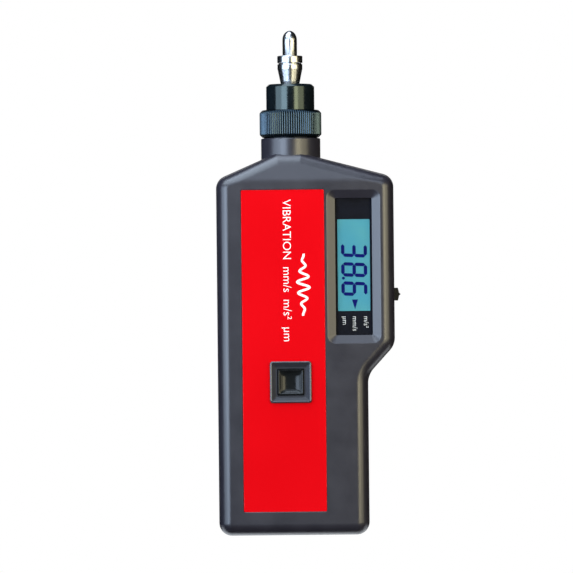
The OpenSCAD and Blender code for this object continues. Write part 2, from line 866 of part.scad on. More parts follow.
module knurled_ring() {
    color("#2c3a48") difference() {
        union() {
            translate([0, 0, ring_z]) cylinder(r1 = root_r - ring_chamfer,
                r2 = root_r - root_step, h = ring_chamfer);
            translate([0, 0, ring_z + ring_chamfer])
                linear_extrude(ring_h - 2 * ring_chamfer) polygon(knurl_points());
            translate([0, 0, ring_top - ring_chamfer]) cylinder(r1 = root_r - root_step,
                r2 = root_r - ring_chamfer, h = ring_chamfer);
        }
        translate([0, 0, ring_z - over]) cylinder(r = ring_bore_r, h = lip_z - ring_z + over);
        translate([0, 0, ring_z]) cylinder(r = head_r + move_gap, h = ring_h + over);
    }
}

module sensor_housing() {
    color("#15191c") difference() {
        union() {
            translate([0, 0, seat_z]) cylinder(r = head_flange_r, h = head_flange_h);
            translate([0, 0, seat_z]) cylinder(r = head_r, h = head_top - head_chamfer - seat_z);
            translate([0, 0, head_top - head_chamfer])
                cylinder(r1 = head_r, r2 = head_r - head_chamfer, h = head_chamfer);
        }
        translate([0, 0, seat_z - over]) cylinder(r = base_r + fit_gap, h = base_t + over);
        translate([0, 0, seat_z]) cylinder(r = cavity_r, h = cavity_top - seat_z);
        translate([0, 0, head_top - stud_l - fit_gap])
            cylinder(r = stud_r + run_gap, h = stud_l + over);
        translate([0, 0, cavity_top - over]) cylinder(r = piezo_hole_r, h = bolt_in + fit_gap + over);
    }
}

module sensor_base() {
    color("#9a9fa6") difference() {
        translate([0, 0, seat_z]) cylinder(r = base_r, h = base_t);
        translate([0, 0, seat_z - over]) cylinder(r = lead_r + lead_hole_gap, h = base_t + 2 * over);
    }
}

module piezo_element() {
    color("#d9c79a") difference() {
        translate([0, 0, piezo_z]) cylinder(r = piezo_r, h = piezo_t);
        translate([0, 0, piezo_z - over]) cylinder(r = piezo_hole_r, h = piezo_t + 2 * over);
    }
}

module seismic_mass() {
    color("#a58a4a") difference() {
        translate([0, 0, mass_z]) cylinder(r = mass_r, h = mass_h);
        translate([0, 0, mass_z - over]) cylinder(r = piezo_hole_r, h = mass_h + 2 * over);
    }
}

module preload_bolt() {
    color("#c4c8cc") union() {
        translate([0, 0, bolt_head_z]) cylinder(r = bolt_head_r, h = bolt_head_h);
        translate([0, 0, mass_z - fit_gap]) cylinder(r = bolt_r, h = mass_h + piezo_t + bolt_in + fit_gap);
    }
}

// One turned piece: stud, foot, taper, bead, groove, collar and round-nosed rod
module contact_tip() {
    bead_top = bead_z + bead_h;
    collar_z = bead_top + groove_gap;
    collar_top = collar_z + collar_h;
    apex_z = collar_top + rod_l;
    nose_z = apex_z - nose_l;
    color("#d6d8dc") rotate_extrude() polygon(concat(
        [[0, head_top - stud_l], [stud_r, head_top - stud_l], [stud_r, tip_z],
         [tip_foot_r, tip_z], [bead_r, bead_z], [bead_r, bead_top - edge_c],
         [bead_r - edge_c, bead_top], [collar_r - edge_c - groove_in, bead_top],
         [collar_r - edge_c - groove_in, collar_z], [collar_r - edge_c, collar_z],
         [collar_r, collar_z + edge_c], [collar_r, collar_top], [rod_r, collar_top]],
        [for (i = [0 : nose_steps - 1]) let(a = 90 * i / nose_steps)
            [rod_r * cos(a), nose_z + nose_l * sin(a)]],
        [[0, apex_z]]));
}

// A round lead that comes down the axis, turns to the front and ends on the board
module lead_path(x, y, z_top, z_bend, bend, r) {
    translate([x, y, z_bend]) cylinder(r = r, h = z_top - z_bend);
    translate([x, y - bend, z_bend]) rotate([90, 0, 90]) rotate_extrude(angle = -90)
        translate([bend, 0]) circle(r = r);
    rod_y(x, z_bend - bend, r, board_back_y, y - bend);
}

module sensor_cable() {
    color("#3a3d44") lead_path(0, 0, seat_z + base_t + move_gap, board_top - lead_down + lead_bend_r,
        lead_bend_r, lead_r);
}

module battery() {
    color("#c9a227") union() {
        span([-battery_w / 2, bay_front_y, battery_z],
             [battery_w / 2, bay_front_y + battery_t, terminal_z]);
        translate([-terminal_x, battery_y, terminal_z - fit_gap])
            cylinder(r = plus_r, h = terminal_h + fit_gap);
        translate([terminal_x, battery_y, terminal_z - fit_gap])
            cylinder(r = minus_r, h = terminal_h + fit_gap);
    }
}

module battery_snap() {
    color("#26262a") difference() {
        span([-battery_w / 2 + snap_edge, battery_y - snap_d / 2, terminal_z + fit_gap],
             [battery_w / 2 - snap_edge, battery_y + snap_d / 2, snap_top]);
        translate([-terminal_x, battery_y, terminal_z])
            cylinder(r = plus_r + fit_gap, h = terminal_h + fit_gap);
        translate([terminal_x, battery_y, terminal_z])
            cylinder(r = minus_r + fit_gap, h = terminal_h + fit_gap);
    }
}

// The two wires go up from the snap, through the bay's roof and forward to the board
module battery_leads() {
    z_bend = bay_roof_z + bay_wall + wire_rise - wire_bend_r;
    for (s = [-1, 1]) color(s < 0 ? "#c01818" : "#18181a") {
        translate([s * wire_x, battery_y, snap_top]) cylinder(r = wire_r, h = z_bend - snap_top);
        translate([s * wire_x, battery_y - wire_bend_r, z_bend]) rotate([90, 0, 90])
            rotate_extrude(angle = 90) translate([wire_bend_r, 0]) circle(r = wire_r);
        rod_y(s * wire_x, z_bend + wire_bend_r, wire_r, board_back_y, battery_y - wire_bend_r);
    }
}

// A screw from the back: shank towards the front, cross-slotted head
module screw(x, z, seat_y, r, l, r_head, h_head, slot_w, slot_d) {
    difference() {
        union() {
            rod_y(x, z, r, seat_y - l, seat_y + fit_gap);
            rod_y(x, z, r_head, seat_y, seat_y + h_head);
        }
        for (a = [0, 90]) translate([x, seat_y + h_head - slot_d, z]) rotate([0, a, 0])
            translate([-r_head * slot_reach_share, 0, -slot_w / 2])
                cube([2 * r_head * slot_reach_share, slot_d + over, slot_w]);
    }
}

module casing_screws() {
    color("#8d9096") for (s = screw_spots)
        screw(s[0], s[1], head_seat_y, screw_r, screw_l, screw_head_r, screw_head_h,
            screw_slot_w, screw_slot_d);
}

module board_screws() {
    color("#c9ccd0") for (s = board_screw_spots)
        screw(s[0], s[1], board_back_y, board_screw_r, board_screw_l, board_head_r, board_head_h,
            board_slot_w, board_slot_d);
}

front_casing();
rear_casing();
battery_door();
front_label();
display_window();
lcd_glass();
lcd_reflector();
zebra_strips();
main_board();
processor_chip();
amplifier_chips();
capacitors();
button_bezel();
measure_button();
key_switch();
key_plunger();
slide_switch();
switch_slider();
mode_knob();
neck_sleeve();
seal_ring();
knurled_ring();
sensor_housing();
sensor_base();
piezo_element();
seismic_mass();
preload_bolt();
contact_tip();
sensor_cable();
battery();
battery_snap();
battery_leads();
casing_screws();
board_screws();
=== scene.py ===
# %% [markdown]
# A pocket vibration meter, dressed for the camera.
#
# The object is a flat moulded body with a red label, a small liquid crystal display, one square
# measure key, a selector on the right edge, and a sensor head that ends in a steel contact tip.
# The solids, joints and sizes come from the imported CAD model. This file gives them their looks:
# smooth moulded skins where the CAD has facets, fine parts such as the knurl and the digits, and
# a material for every piece. All lengths are in metres, and the axes are the CAD model's: +Z runs
# up to the tip, -Y out of the front, and the origin is on the tip's axis at the base.

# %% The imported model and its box
import math

import bmesh
import bpy
import numpy as np
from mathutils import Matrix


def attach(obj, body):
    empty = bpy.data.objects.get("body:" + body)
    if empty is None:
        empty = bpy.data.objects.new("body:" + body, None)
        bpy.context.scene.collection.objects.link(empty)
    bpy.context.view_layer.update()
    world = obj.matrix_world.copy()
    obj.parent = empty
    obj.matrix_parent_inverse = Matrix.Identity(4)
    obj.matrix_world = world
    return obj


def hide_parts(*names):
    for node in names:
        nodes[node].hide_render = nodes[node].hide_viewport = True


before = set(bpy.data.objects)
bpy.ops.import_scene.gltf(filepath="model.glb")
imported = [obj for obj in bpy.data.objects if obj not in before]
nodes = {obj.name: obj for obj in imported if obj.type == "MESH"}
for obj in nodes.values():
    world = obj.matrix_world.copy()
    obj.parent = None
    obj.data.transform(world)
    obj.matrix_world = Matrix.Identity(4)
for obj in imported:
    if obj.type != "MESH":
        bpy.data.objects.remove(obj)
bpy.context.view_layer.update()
mm = 0.001

# %% [markdown]
# The photograph looks straight at the front from far away, so a long lens is used, and the camera
# is rolled by less than a degree because the object leans that much in the picture.

# %% Camera
picture_width = 209.0 * mm
picture_middle = (-2.07 * mm, 91.0 * mm)
front_face = -14.5 * mm
camera_distance = 1.766
lean_of_the_picture = math.radians(0.58)
sensor_width = 36
camera_data = bpy.data.cameras.new("camera")
camera_data.sensor_width = sensor_width
camera_data.lens = sensor_width * camera_distance / picture_width
camera_data.clip_end = 10
camera = bpy.data.objects.new("camera", camera_data)
bpy.context.scene.collection.objects.link(camera)
camera.location = (picture_middle[0], front_face - camera_distance, picture_middle[1])
camera.rotation_euler = (math.radians(90), lean_of_the_picture, 0)
bpy.context.scene.camera = camera
bpy.context.scene.view_settings.view_transform = "Standard"
print("lens", round(camera_data.lens, 1), "mm")

# %% [markdown]
# Every mesh below is worked out with numpy and put into Blender in one go. A surface is a grid of
# rows and columns. Rows that close on themselves make a tube, and a tube whose last row meets its
# first one is a ring with no open edge.

# %% Helpers that make meshes
def add_mesh(name, points, faces):
    """Makes an object from an array of points and a list of faces."""
    mesh = bpy.data.meshes.new(name)
    mesh.from_pydata(np.asarray(points, float).tolist(), [], faces)
    mesh.update()
    piece = bpy.data.objects.new(name, mesh)
    bpy.context.scene.collection.objects.link(piece)
    return piece


def grid_faces(rows, columns, wrap_rows=False):
    """Quads of a grid whose columns close on themselves: each joins (i, j) to its next row and
    column. wrap_rows joins the last row to the first too."""
    i = np.arange(rows if wrap_rows else rows - 1)[:, None]
    j = np.arange(columns)[None, :]
    a = i * columns + j
    b = i * columns + (j + 1) % columns
    c = (i + 1) % rows * columns + (j + 1) % columns
    d = (i + 1) % rows * columns + j
    return np.stack([a, b, c, d], -1).reshape(-1, 4)


def points_of(piece):
    """The points of a piece, as an array of (points, 3) in metres."""
    co = np.empty(len(piece.data.vertices) * 3)
    piece.data.vertices.foreach_get("co", co)
    return co.reshape(-1, 3)


def move_points(piece, points):
    """Puts an array of (points, 3) back into a piece."""
    piece.data.vertices.foreach_set("co", points.ravel())
    piece.data.update()
    return piece


def face_outwards(piece):
    """Merges doubled points and turns all faces of a closed piece outwards."""
    work = bmesh.new()
    work.from_mesh(piece.data)
    bmesh.ops.remove_doubles(work, verts=work.verts, dist=1e-7)
    bmesh.ops.recalc_face_normals(work, faces=work.faces)
    work.to_mesh(piece.data)
    work.free()
    return piece


def loft(name, rings, capped=True, looped=False):
    """Joins rings of points, an array of (rings, points, 3), into one closed skin. It is capped
    with a flat face at both ends, or the last ring meets the first."""
    rings = np.asarray(rings, float)
    n, m = rings.shape[:2]
    faces = grid_faces(n, m, looped).tolist()
    if capped and not looped:
        faces += [list(range(m))[::-1], list(range((n - 1) * m, n * m))]
    return face_outwards(add_mesh(name, rings.reshape(-1, 3), faces))


def turned(name, profile, columns, start=0.0):
    """Turns a profile of (radius, z) pairs in mm round the Z axis: x = r cos t, y = r sin t. The
    profile starts and ends on the axis, or it is a closed ring. start turns the first column."""
    r, z = np.asarray(profile, float).T * mm
    t = start + np.linspace(0, 2 * np.pi, columns, endpoint=False)
    rings = np.stack([r[:, None] * np.cos(t), r[:, None] * np.sin(t),
                      np.repeat(z[:, None], columns, 1)], -1)
    on_axis = r[0] == 0 and r[-1] == 0
    return loft(name, rings, capped=False, looped=not on_axis)


def arc(cx, cy, r, a0, a1, n=8):
    """Points on an arc of a circle, from angle a0 to a1 in degrees."""
    a = np.radians(np.linspace(a0, a1, n + 1))
    return [(cx + r * math.cos(v), cy + r * math.sin(v)) for v in a]


def bar(name, x, z, w, h, r, y0, y1, lip=0.0):
    """A rounded square bar along Y, in mm. A lip widens its y0 end by that much at 45 degrees."""
    ends = [(0.0, y0), (0.0, y1)] if not lip else [(lip + 1, y0 - 1), (0.0, y0 + lip), (0.0, y1)]
    return loft(name, [rounded_square(x, z, w / 2 + grow, h / 2 + grow, r + grow, y)
                       for grow, y in ends])


def rounded_square(x, z, a, b, r, y, steps=8):
    """Ring of points round a rounded rectangle at depth y: half width a, half height b, and a
    quarter circle of radius r at each corner."""
    t = np.radians(np.linspace(0, 90, steps + 1))
    corners = []
    for k, (sx, sz) in enumerate([(1, 1), (-1, 1), (-1, -1), (1, -1)]):
        angle = t + k * np.pi / 2
        corners.append(np.stack([x + sx * (a - r) + r * np.cos(angle), np.full(len(t), y),
                                 z + sz * (b - r) + r * np.sin(angle)], -1))
    return np.concatenate(corners) * mm


def box(name, low, high):
    """A cutting block between two corners, in mm."""
    x0, y0, z0 = low
    x1, y1, z1 = high
    low_ring = np.array([(x0, y0, z0), (x1, y0, z0), (x1, y1, z0), (x0, y1, z0)], float) * mm
    high_ring = low_ring + np.array([0, 0, z1 - z0]) * mm
    return loft(name, [low_ring, high_ring])


def side_block(name, side, near, far, y, z):
    """A block on one side of the object, from the distance near to far off the middle: side is -1
    or 1, and y and z are pairs."""
    x = sorted((side * near, side * far))
    return box(name, (x[0], y[0], z[0]), (x[1], y[1], z[1]))


def carve(piece, cutters, operation="DIFFERENCE"):
    """Cuts, joins or keeps with each of the cutters in turn, and then deletes them."""
    for cutter in cutters:
        step = piece.modifiers.new("cut", "BOOLEAN")
        step.operation, step.object, step.solver = operation, cutter, "EXACT"
        bpy.context.view_layer.update()
        graph = bpy.context.evaluated_depsgraph_get()
        mesh = bpy.data.meshes.new_from_object(piece.evaluated_get(graph))
        piece.modifiers.clear()
        old, piece.data = piece.data, mesh
        bpy.data.meshes.remove(old)
        bpy.data.objects.remove(cutter)
    piece.data.name = piece.name
    return piece


def smooth(piece, degrees=32, weighted=True):
    """Shades a piece smooth, keeps edges sharper than the angle crisp, and lets large faces decide
    the shading of narrow ones beside them. Slivers under a micrometre, which a Boolean can leave,
    are closed first."""
    work = bmesh.new()
    work.from_mesh(piece.data)
    bmesh.ops.remove_doubles(work, verts=work.verts, dist=0.001 * mm)
    bmesh.ops.dissolve_degenerate(work, edges=work.edges, dist=0.001 * mm)
    for f in work.faces:
        f.smooth = True
    for e in work.edges:
        e.smooth = len(e.link_faces) == 2 and e.calc_face_angle(0) < math.radians(degrees)
    work.to_mesh(piece.data)
    work.free()
    if weighted:
        step = piece.modifiers.new("weighted", "WEIGHTED_NORMAL")
        step.keep_sharp = True
        step.weight = 100
    return piece


print("helpers ready")

# %% [markdown]
# A material is named for what the real part is made of. Colours are written as they look on a
# screen, in sRGB hex, and one function turns them into the linear numbers that Blender mixes.
# One small helper adds a node, sets its sockets and links it.

# %% Helpers that make materials
def linear(hex_colour):
    """Linear RGBA from sRGB hex: c / 12.92 below 0.04045, otherwise ((c + 0.055) / 1.055) ^ 2.4."""
    c = np.array([int(hex_colour[i:i + 2], 16) for i in (1, 3, 5)]) / 255
    c = np.where(c <= 0.04045, c / 12.92, ((c + 0.055) / 1.055) ** 2.4)
    return (*c.tolist(), 1.0)


def add(material, kind, settings=None, **sockets):
    """Adds a node: settings are its properties, and each socket takes a value or an output. A
    socket goes by its name, with _ for a space, or by its place, as i0 or i1."""
    node = material.node_tree.nodes.new(kind)
    for key, value in (settings or {}).items():
        setattr(node, key, value)
    for key, value in sockets.items():
        by_place = key[0] == "i" and key[1:].isdigit()
        socket = node.inputs[int(key[1:]) if by_place else key.replace("_", " ")]
        if isinstance(value, bpy.types.NodeSocket):
            material.node_tree.links.new(value, socket)
        else:
            socket.default_value = value
    return node


def material_of(name, colour, **sockets):
    """A new material whose Principled shader has this colour and these socket values."""
    material = bpy.data.materials.new(name)
    material.use_nodes = True
    shader = material.node_tree.nodes["Principled BSDF"]
    shader.inputs["Base Color"].default_value = linear(colour)
    for key, value in sockets.items():
        shader.inputs[key.replace("_", " ")].default_value = value
    return material, shader


def join(material, output, socket):
    """Links an output to a socket."""
    material.node_tree.links.new(output, socket)


def mottled(material, shader, size_mm, low, high, detail=3.0):
    """Colour that drifts between two hex values in patches of the given size, and returns the
    noise, so that roughness can follow it."""
    place = add(material, "ShaderNodeTexCoord")
    noise = add(material, "ShaderNodeTexNoise", Vector=place.outputs["Object"],
                Scale=1 / (size_mm * mm), Detail=detail, Roughness=0.55)
    ramp = add(material, "ShaderNodeValToRGB", Fac=noise.outputs["Fac"])
    ramp.color_ramp.elements[0].position, ramp.color_ramp.elements[0].color = 0.35, linear(low)
    ramp.color_ramp.elements[1].position, ramp.color_ramp.elements[1].color = 0.65, linear(high)
    join(material, ramp.outputs["Color"], shader.inputs["Base Color"])
    return noise


def grained(material, shader, size_mm, depth_mm, strength):
    """Bumps of a real size and depth, from fine noise."""
    place = add(material, "ShaderNodeTexCoord")
    grain = add(material, "ShaderNodeTexNoise", Vector=place.outputs["Object"],
                Scale=1 / (size_mm * mm), Detail=2.0, Roughness=0.6)
    bump = add(material, "ShaderNodeBump", Height=grain.outputs["Fac"], Strength=strength,
               Distance=depth_mm * mm)
    join(material, bump.outputs["Normal"], shader.inputs["Normal"])


def vary(material, shader, socket, source, low, high):
    """Lets a socket follow a pattern: low where the pattern is under 0.3, and high over 0.7."""
    span = add(material, "ShaderNodeMapRange", Value=source, From_Min=0.3, From_Max=0.7, To_Min=low,
               To_Max=high)
    join(material, span.outputs["Result"], shader.inputs[socket])


def dress(piece, material):
    """Gives a piece, or a CAD node's object, this material in all its slots."""
    if not piece.material_slots:
        piece.data.materials.append(material)
    for held in piece.material_slots:
        held.material = material
    return piece


print("material helpers ready")

# %% [markdown]
# The body is injection moulded ABS in two halves. Seen from the front it is an outline of straight
# sides and rounded corners. Its edge is a wall that is straight for 17 mm of depth and then rounds
# over into the flat face with a radius of 4.1 mm. So the skin is one outline, moved inwards level
# by level as the edge rounds over: a loft. The CAD model has few levels, which shows as facets, so
# the same rule is used here with many.

# %% The body's outline and edge
body = {"half_depth": 14.5, "wall": 2.2, "edge_r": 4.1, "ease_in": 0.4, "ease_l": 1.9,
        "parting": 1.0, "rim": 0.12, "seam": 0.3, "seam_depth": 0.8, "roof": 6.5, "height": 139.8}
outer_corners = [(-27.5, 0, 4.7), (27.5, 0, 4.7), (27.5, 58.4, 8), (37.4, 69.3, 7),
                 (37.4, 130.9, 5), (3.7, 139.8, 0.8), (-5.4, 139.8, 0.8), (-27.5, 130.2, 5)]
cavity_corners = [(x, z - body["roof"] if z == body["height"] else z, r) for x, z, r in outer_corners]


def outline(corners, inset, steps=10):
    """The outline moved inwards, as rounded corners of (x, z): a corner point goes along the
    bisector by the inset, and its radius shrinks by the inset, or grows where it bends inwards."""
    points = []
    n = len(corners)
    for i in range(n):
        before, here, after = (np.array(corners[k % n][:2], float) for k in (i - 1, i, i + 1))
        u = (here - before) / np.linalg.norm(here - before)
        v = (after - here) / np.linalg.norm(after - here)
        left_u, left_v = np.array([-u[1], u[0]]), np.array([-v[1], v[0]])
        p = here + inset * (left_u + left_v) / (1 + u @ v)
        cross = u[0] * v[1] - u[1] * v[0]
        r = max(corners[i][2] - inset, 0.8) if cross > 0 else corners[i][2] + inset
        side = -1 if cross < 0 else 1
        turn = math.acos(np.clip(u @ v, -1, 1))
        centre = p - u * r * math.tan(turn / 2) + side * r * left_u
        a = np.linspace(0, turn, steps + 1)[:, None]
        points.append(centre + r * (u * np.sin(a) - side * left_u * np.cos(a)))
    return np.concatenate(points)


def level(corners, inset, y):
    """One ring of the skin, in metres."""
    ring = outline(corners, inset)
    return np.stack([ring[:, 0], np.full(len(ring), y), ring[:, 1]], -1) * mm


def outer_profile(steps=12):
    """Inset and depth of the outer skin, from the flat face back to the straight wall."""
    a = np.radians(np.linspace(90, 0, steps + 1))
    face, r = -body["half_depth"], body["edge_r"]
    inset = body["ease_in"] + r * (1 - np.cos(a))
    y = face + r * (1 - np.sin(a))
    ease = np.linspace(0, 1, 5)[1:]
    return (list(zip(inset, y)) + [(body["ease_in"] * (1 - e) ** 2, face + r + body["ease_l"] * e)
                                   for e in ease])


def inner_profile(steps=6):
    """Inset and depth of the cavity, from the wall forward to its flat floor."""
    a = np.radians(np.linspace(0, 90, steps + 1))
    face, r = -body["half_depth"] + body["wall"], body["edge_r"] - body["wall"]
    return list(zip(body["ease_in"] + body["edge_r"] - r * np.cos(a), face + r * (1 - np.sin(a))))


print("outline points:", len(outline(outer_corners, 0)))

# %% [markdown]
# The front half leans back under the neck, like a ramp. On the moulded part the edge radius runs on
# along the ramp, so the skin isn't simply sliced: it is divided into thin bands there, and every
# point is moved back in proportion to how far forward of the straight wall it lies.

# %% The front half: skin, ramp and neck
ramp = {"foot": 129.5, "rise": 10.3, "back": 2.4, "bands": (128.6, 139.6, 23)}


def lean_back(piece):
    """Ramp: over a rise of 10.3 mm from its foot, the face moves back by up to 2.4 mm, with a soft
    start. A point's own share is its distance in front of the straight wall, over the 6 mm from
    the wall's end to the face."""
    work = bmesh.new()
    work.from_mesh(piece.data)
    for z in np.linspace(*ramp["bands"]):
        bmesh.ops.bisect_plane(work, geom=work.verts[:] + work.edges[:] + work.faces[:], dist=1e-8,
                               plane_co=(0, 0, z * mm), plane_no=(0, 0, 1))
    work.to_mesh(piece.data)
    work.free()
    x, y, z = points_of(piece).T / mm
    over = np.clip(z - ramp["foot"], -1.0, None)
    run = np.where(over < 1.0, (over + 1.0) ** 2 / 4, over)
    back = run * ramp["back"] / ramp["rise"]
    deep = body["edge_r"] + body["ease_l"]
    share = np.clip((deep - body["half_depth"] - y) / deep, 0, 1)
    return move_points(piece, np.stack([x, y + back * share, z], -1) * mm)


def neck(front):
    """Half of the round neck, from inside the roof up to its soft top edge."""
    radius, foot, top, soft = 10.9, 132.2, 145.4, 0.4
    profile = ([(0, foot), (radius, foot)] + arc(radius - soft, top - soft, soft, 0, 90, 4)
               + [(0, top)])
    y0, y1 = (-20, body["parting"]) if front else (body["parting"], 20)
    return carve(turned("neck", profile, 128), [box("half", (-20, y0, 130), (20, y1, 150))],
                 "INTERSECT")


def half_body(name, depth, seam):
    """A half of the body on its front side, open at the back: the outer skin, the rim, and the
    cavity's skin on its own ring inside. seam gives the rim a step for the joint line, and without
    it the rim has a small chamfer."""
    outer = [level(outer_corners, i, y) for i, y in outer_profile()]
    if seam:
        outer += [level(outer_corners, 0, depth - seam),
                  level(outer_corners, body["seam_depth"], depth - seam),
                  level(outer_corners, body["seam_depth"], depth)]
    else:
        outer += [level(outer_corners, 0, depth - body["rim"]),
                  level(outer_corners, body["rim"], depth)]
    inner = [level(cavity_corners, body["wall"], depth)]
    inner += [level(cavity_corners, i, y) for i, y in inner_profile()]
    m = len(outer[0])
    rings = np.array(outer + inner)
    faces = grid_faces(len(rings), m).tolist()
    faces += [list(range(m)), list(range((len(rings) - 1) * m, len(rings) * m))]
    return face_outwards(add_mesh(name, rings.reshape(-1, 3), faces))


front = half_body("front_skin", body["parting"], 0)
front = lean_back(front)
front = carve(front, [neck(True)], "UNION")
print("front half:", len(front.data.polygons), "faces")

# %% [markdown]
# The openings are cut with Booleans, as the mould's inserts would form them. The display sits at
# the bottom of four sloping sides, and the label in a shallow recess. The display's rim is rounded
# and the label's is chamfered, because a sharp rim wouldn't catch the thin lines of light that the
# photograph shows.

# %% Openings of the front half
label = {"x0": -18.5, "x1": 12.0, "z0": 8.7, "z1": 126.4, "corner_r": 0.6, "floor": -14.0,
         "front": -14.3}
display = {"x0": 12.85, "x1": 32.3, "z0": 70.0, "z1": 126.1, "corner_r": 2.9, "rim_r": 1.2,
           "tilt": 23.4, "slope": 3.0, "floor": -13.2, "seat": -12.7}
key = {"x": -0.86, "z": 56.1, "hole": 13.4, "hole_r": 1.0}
selector = {"y": -2.7, "z": 87.8, "slot": (1.9, 4.65), "shutter": (2.4, 6.95)}
screw_spots = [(-20.3, 10.0), (20.3, 10.0), (-20.5, 122.0), (8.45, 122.0)]
screw = {"post_r": 4.3, "post_back": 12.6, "head_r": 3.1, "seat": 6.5, "shank_r": 1.6}
column_shift = 0.013


def display_cutter():
    """Four sloping sides down to the window, then the straight land and the window's wider seat.
    The rim rounds over a circle's arc, until the arc's tilt is the slope's."""
    d, face = display, -body["half_depth"]
    x, z = (d["x0"] + d["x1"]) / 2, (d["z0"] + d["z1"]) / 2
    a, b = (d["x1"] - d["x0"]) / 2, (d["z1"] - d["z0"]) / 2
    rings = [(1.0, 3.6, face - 0.9)]
    for t in np.radians(np.linspace(0, d["tilt"], 5)):
        grow = 0.25 - d["rim_r"] * math.sin(t)
        rings.append((grow, d["corner_r"] + grow, face + d["rim_r"] * (1 - math.cos(t))))
    land, ledge = -d["slope"], 1.1 - d["slope"]
    rings += [(land, 0.5, d["floor"]), (land, 0.5, d["seat"]), (ledge, 0.5, d["seat"] + 0.01),
              (ledge, 0.5, -11.0)]
    return loft("display_cutter", [rounded_square(x, z, a + grow, b + grow, r, y, 14)
                                   for grow, r, y in rings])


def sleeve_cutter():
    """The neck's bore with the sleeve's groove. Its columns lie a hair off the neck's, because a
    Boolean leaves slivers where two edges nearly meet."""
    bore, groove, foot, low, high, top = 8.1, 9.4, 130.6, 138.0, 139.8, 147
    profile = [(0, foot), (bore, foot), (bore, low), (groove, low), (groove, high), (bore, high),
               (bore, top), (0, top)]
    return turned("sleeve_cutter", profile, 97, start=column_shift)


def selector_block(name, x0, x1, half_y, half_z):
    """A block centred on the selector's slide, from x0 to x1."""
    y, z = selector["y"], selector["z"]
    return box(name, (x0, y - half_y, z - half_z), (x1, y + half_y, z + half_z))


cutters = [
    display_cutter(),
    bar("label_cutter", (label["x0"] + label["x1"]) / 2, (label["z0"] + label["z1"]) / 2,
        label["x1"] - label["x0"], label["z1"] - label["z0"], label["corner_r"],
        -body["half_depth"], label["floor"], lip=0.12),
    bar("key_cutter", key["x"], key["z"], key["hole"], key["hole"], key["hole_r"], -16, -11),
    selector_block("selector_cutter", 33, 40, *selector["slot"]),
    sleeve_cutter(),
]
front = carve(front, cutters)
front.name = front.data.name = "front_casing_skin"
smooth(front)
print("front casing:", len(front.data.polygons), "faces")

# %% [markdown]
# The rear half is the same skin turned round, with a step at its rim that shows as the dark joint
# line all round the body. Posts inside carry the four screws, which go in from behind through
# counterbores.

# %% The rear half and its posts
def mirrored(piece):
    """Turns the front-facing skin to the back: y becomes -y, and the faces are put right again."""
    return face_outwards(move_points(piece, points_of(piece) * (1, -1, 1)))


def screw_post(x, z):
    """A post round a screw: turned about Z, then laid along Y by swapping y and z."""
    r, front_end, back_end = screw["post_r"], body["parting"], screw["post_back"]
    post = turned("post", [(0, front_end), (r, front_end), (r, back_end), (0, back_end)], 48)
    a, b, c = points_of(post).T
    return face_outwards(move_points(post, np.stack([a + x * mm, c, b + z * mm], -1)))


rear = mirrored(half_body("rear_skin", -body["parting"], body["seam"]))
rear = carve(rear, [neck(False)], "UNION")
rear = carve(rear, [screw_post(x, z) for x, z in screw_spots], "UNION")
print("rear half:", len(rear.data.polygons), "faces")

# %% [markdown]
# The battery lies in a bay that the door closes from behind. The bay's walls, ribs and roof are
# joined to the skin first, and the door's room, the screws' ways and the neck's bore are cut last.
# With Booleans that order matters: a cut goes only through what is already there.

# %% The battery bay and the openings of the rear half
bay = {"inside": 16.2, "outside": 17.4, "front": -5.5, "back": 12.4, "foot": 2.1, "top": 59.7,
       "roof": 1.2, "ribs": (13.2, 43.1), "rib_inside": 13.6, "rib_outside": 16.3, "rib_back": 11.0,
       "rib_high": 1.6}
door_size = {"half": 14.2, "half_with_tabs": 15.6, "top": 57.5, "inside": 5, "below": -2, "past": 16,
             "tab_inside": 14.1, "tab_y": (12.4, 13.3), "tab_z": (8, 57.2), "room_y": (11.3, 13.7)}
bay_walls = [side_block("bay_wall", side, bay["inside"], bay["outside"], (bay["front"], bay["back"]),
                        (bay["foot"], bay["top"])) for side in (-1, 1)]
bay_walls += [side_block("bay_rib", side, bay["rib_inside"], bay["rib_outside"],
                         (bay["front"], bay["rib_back"]), (z, z + bay["rib_high"]))
              for side in (-1, 1) for z in bay["ribs"]]
roof = carve(box("bay_roof", (-bay["outside"], bay["front"], bay["top"] - bay["roof"]),
                 (bay["outside"], bay["back"], bay["top"])),
             [box("wire_way", (-3.5, 1.75, 57), (3.5, 4.75, 61))])
rear = carve(rear, bay_walls + [roof], "UNION")


def door_room(gap):
    """The room of the door, with a gap round it: wider behind the thin lip, where its tabs run."""
    half, tabs, top = door_size["half"], door_size["half_with_tabs"], door_size["top"]
    y0, y1 = door_size["room_y"]
    wide = box("door_room", (-tabs - gap, y0, door_size["below"]), (tabs + gap, y1, top + gap))
    slot = box("slot", (-half - gap, door_size["inside"] - gap, door_size["below"]),
               (half + gap, door_size["past"], top + gap))
    return carve(wide, [slot], "UNION")


def round_cutter(name, x, z, r, y0, y1, lip=0.0):
    """A round cutter along Y, in mm, whose outer end widens by the lip at 45 degrees."""
    t = column_shift + np.linspace(0, 2 * np.pi, 64, endpoint=False)
    ends = [(r, y0), (r, y1)] if not lip else [(r, y0), (r, y1 - lip), (r + lip + 1, y1 + 1)]
    rings = [np.stack([x + a * np.cos(t), np.full(64, float(y)), z + a * np.sin(t)], -1) * mm
             for a, y in ends]
    return loft(name, rings)


rear = carve(rear, [door_room(0.3)])
counterbores = [round_cutter("counterbore", x, z, screw["head_r"], screw["seat"], body["half_depth"],
                             0.2) for x, z in screw_spots]
screw_ways = [round_cutter("screw_way", x, z, screw["shank_r"], 0, 8) for x, z in screw_spots]
rear = carve(rear, counterbores + screw_ways + [sleeve_cutter()])
rear.name = rear.data.name = "rear_casing_skin"
smooth(rear)
print("rear casing:", len(rear.data.polygons), "faces")

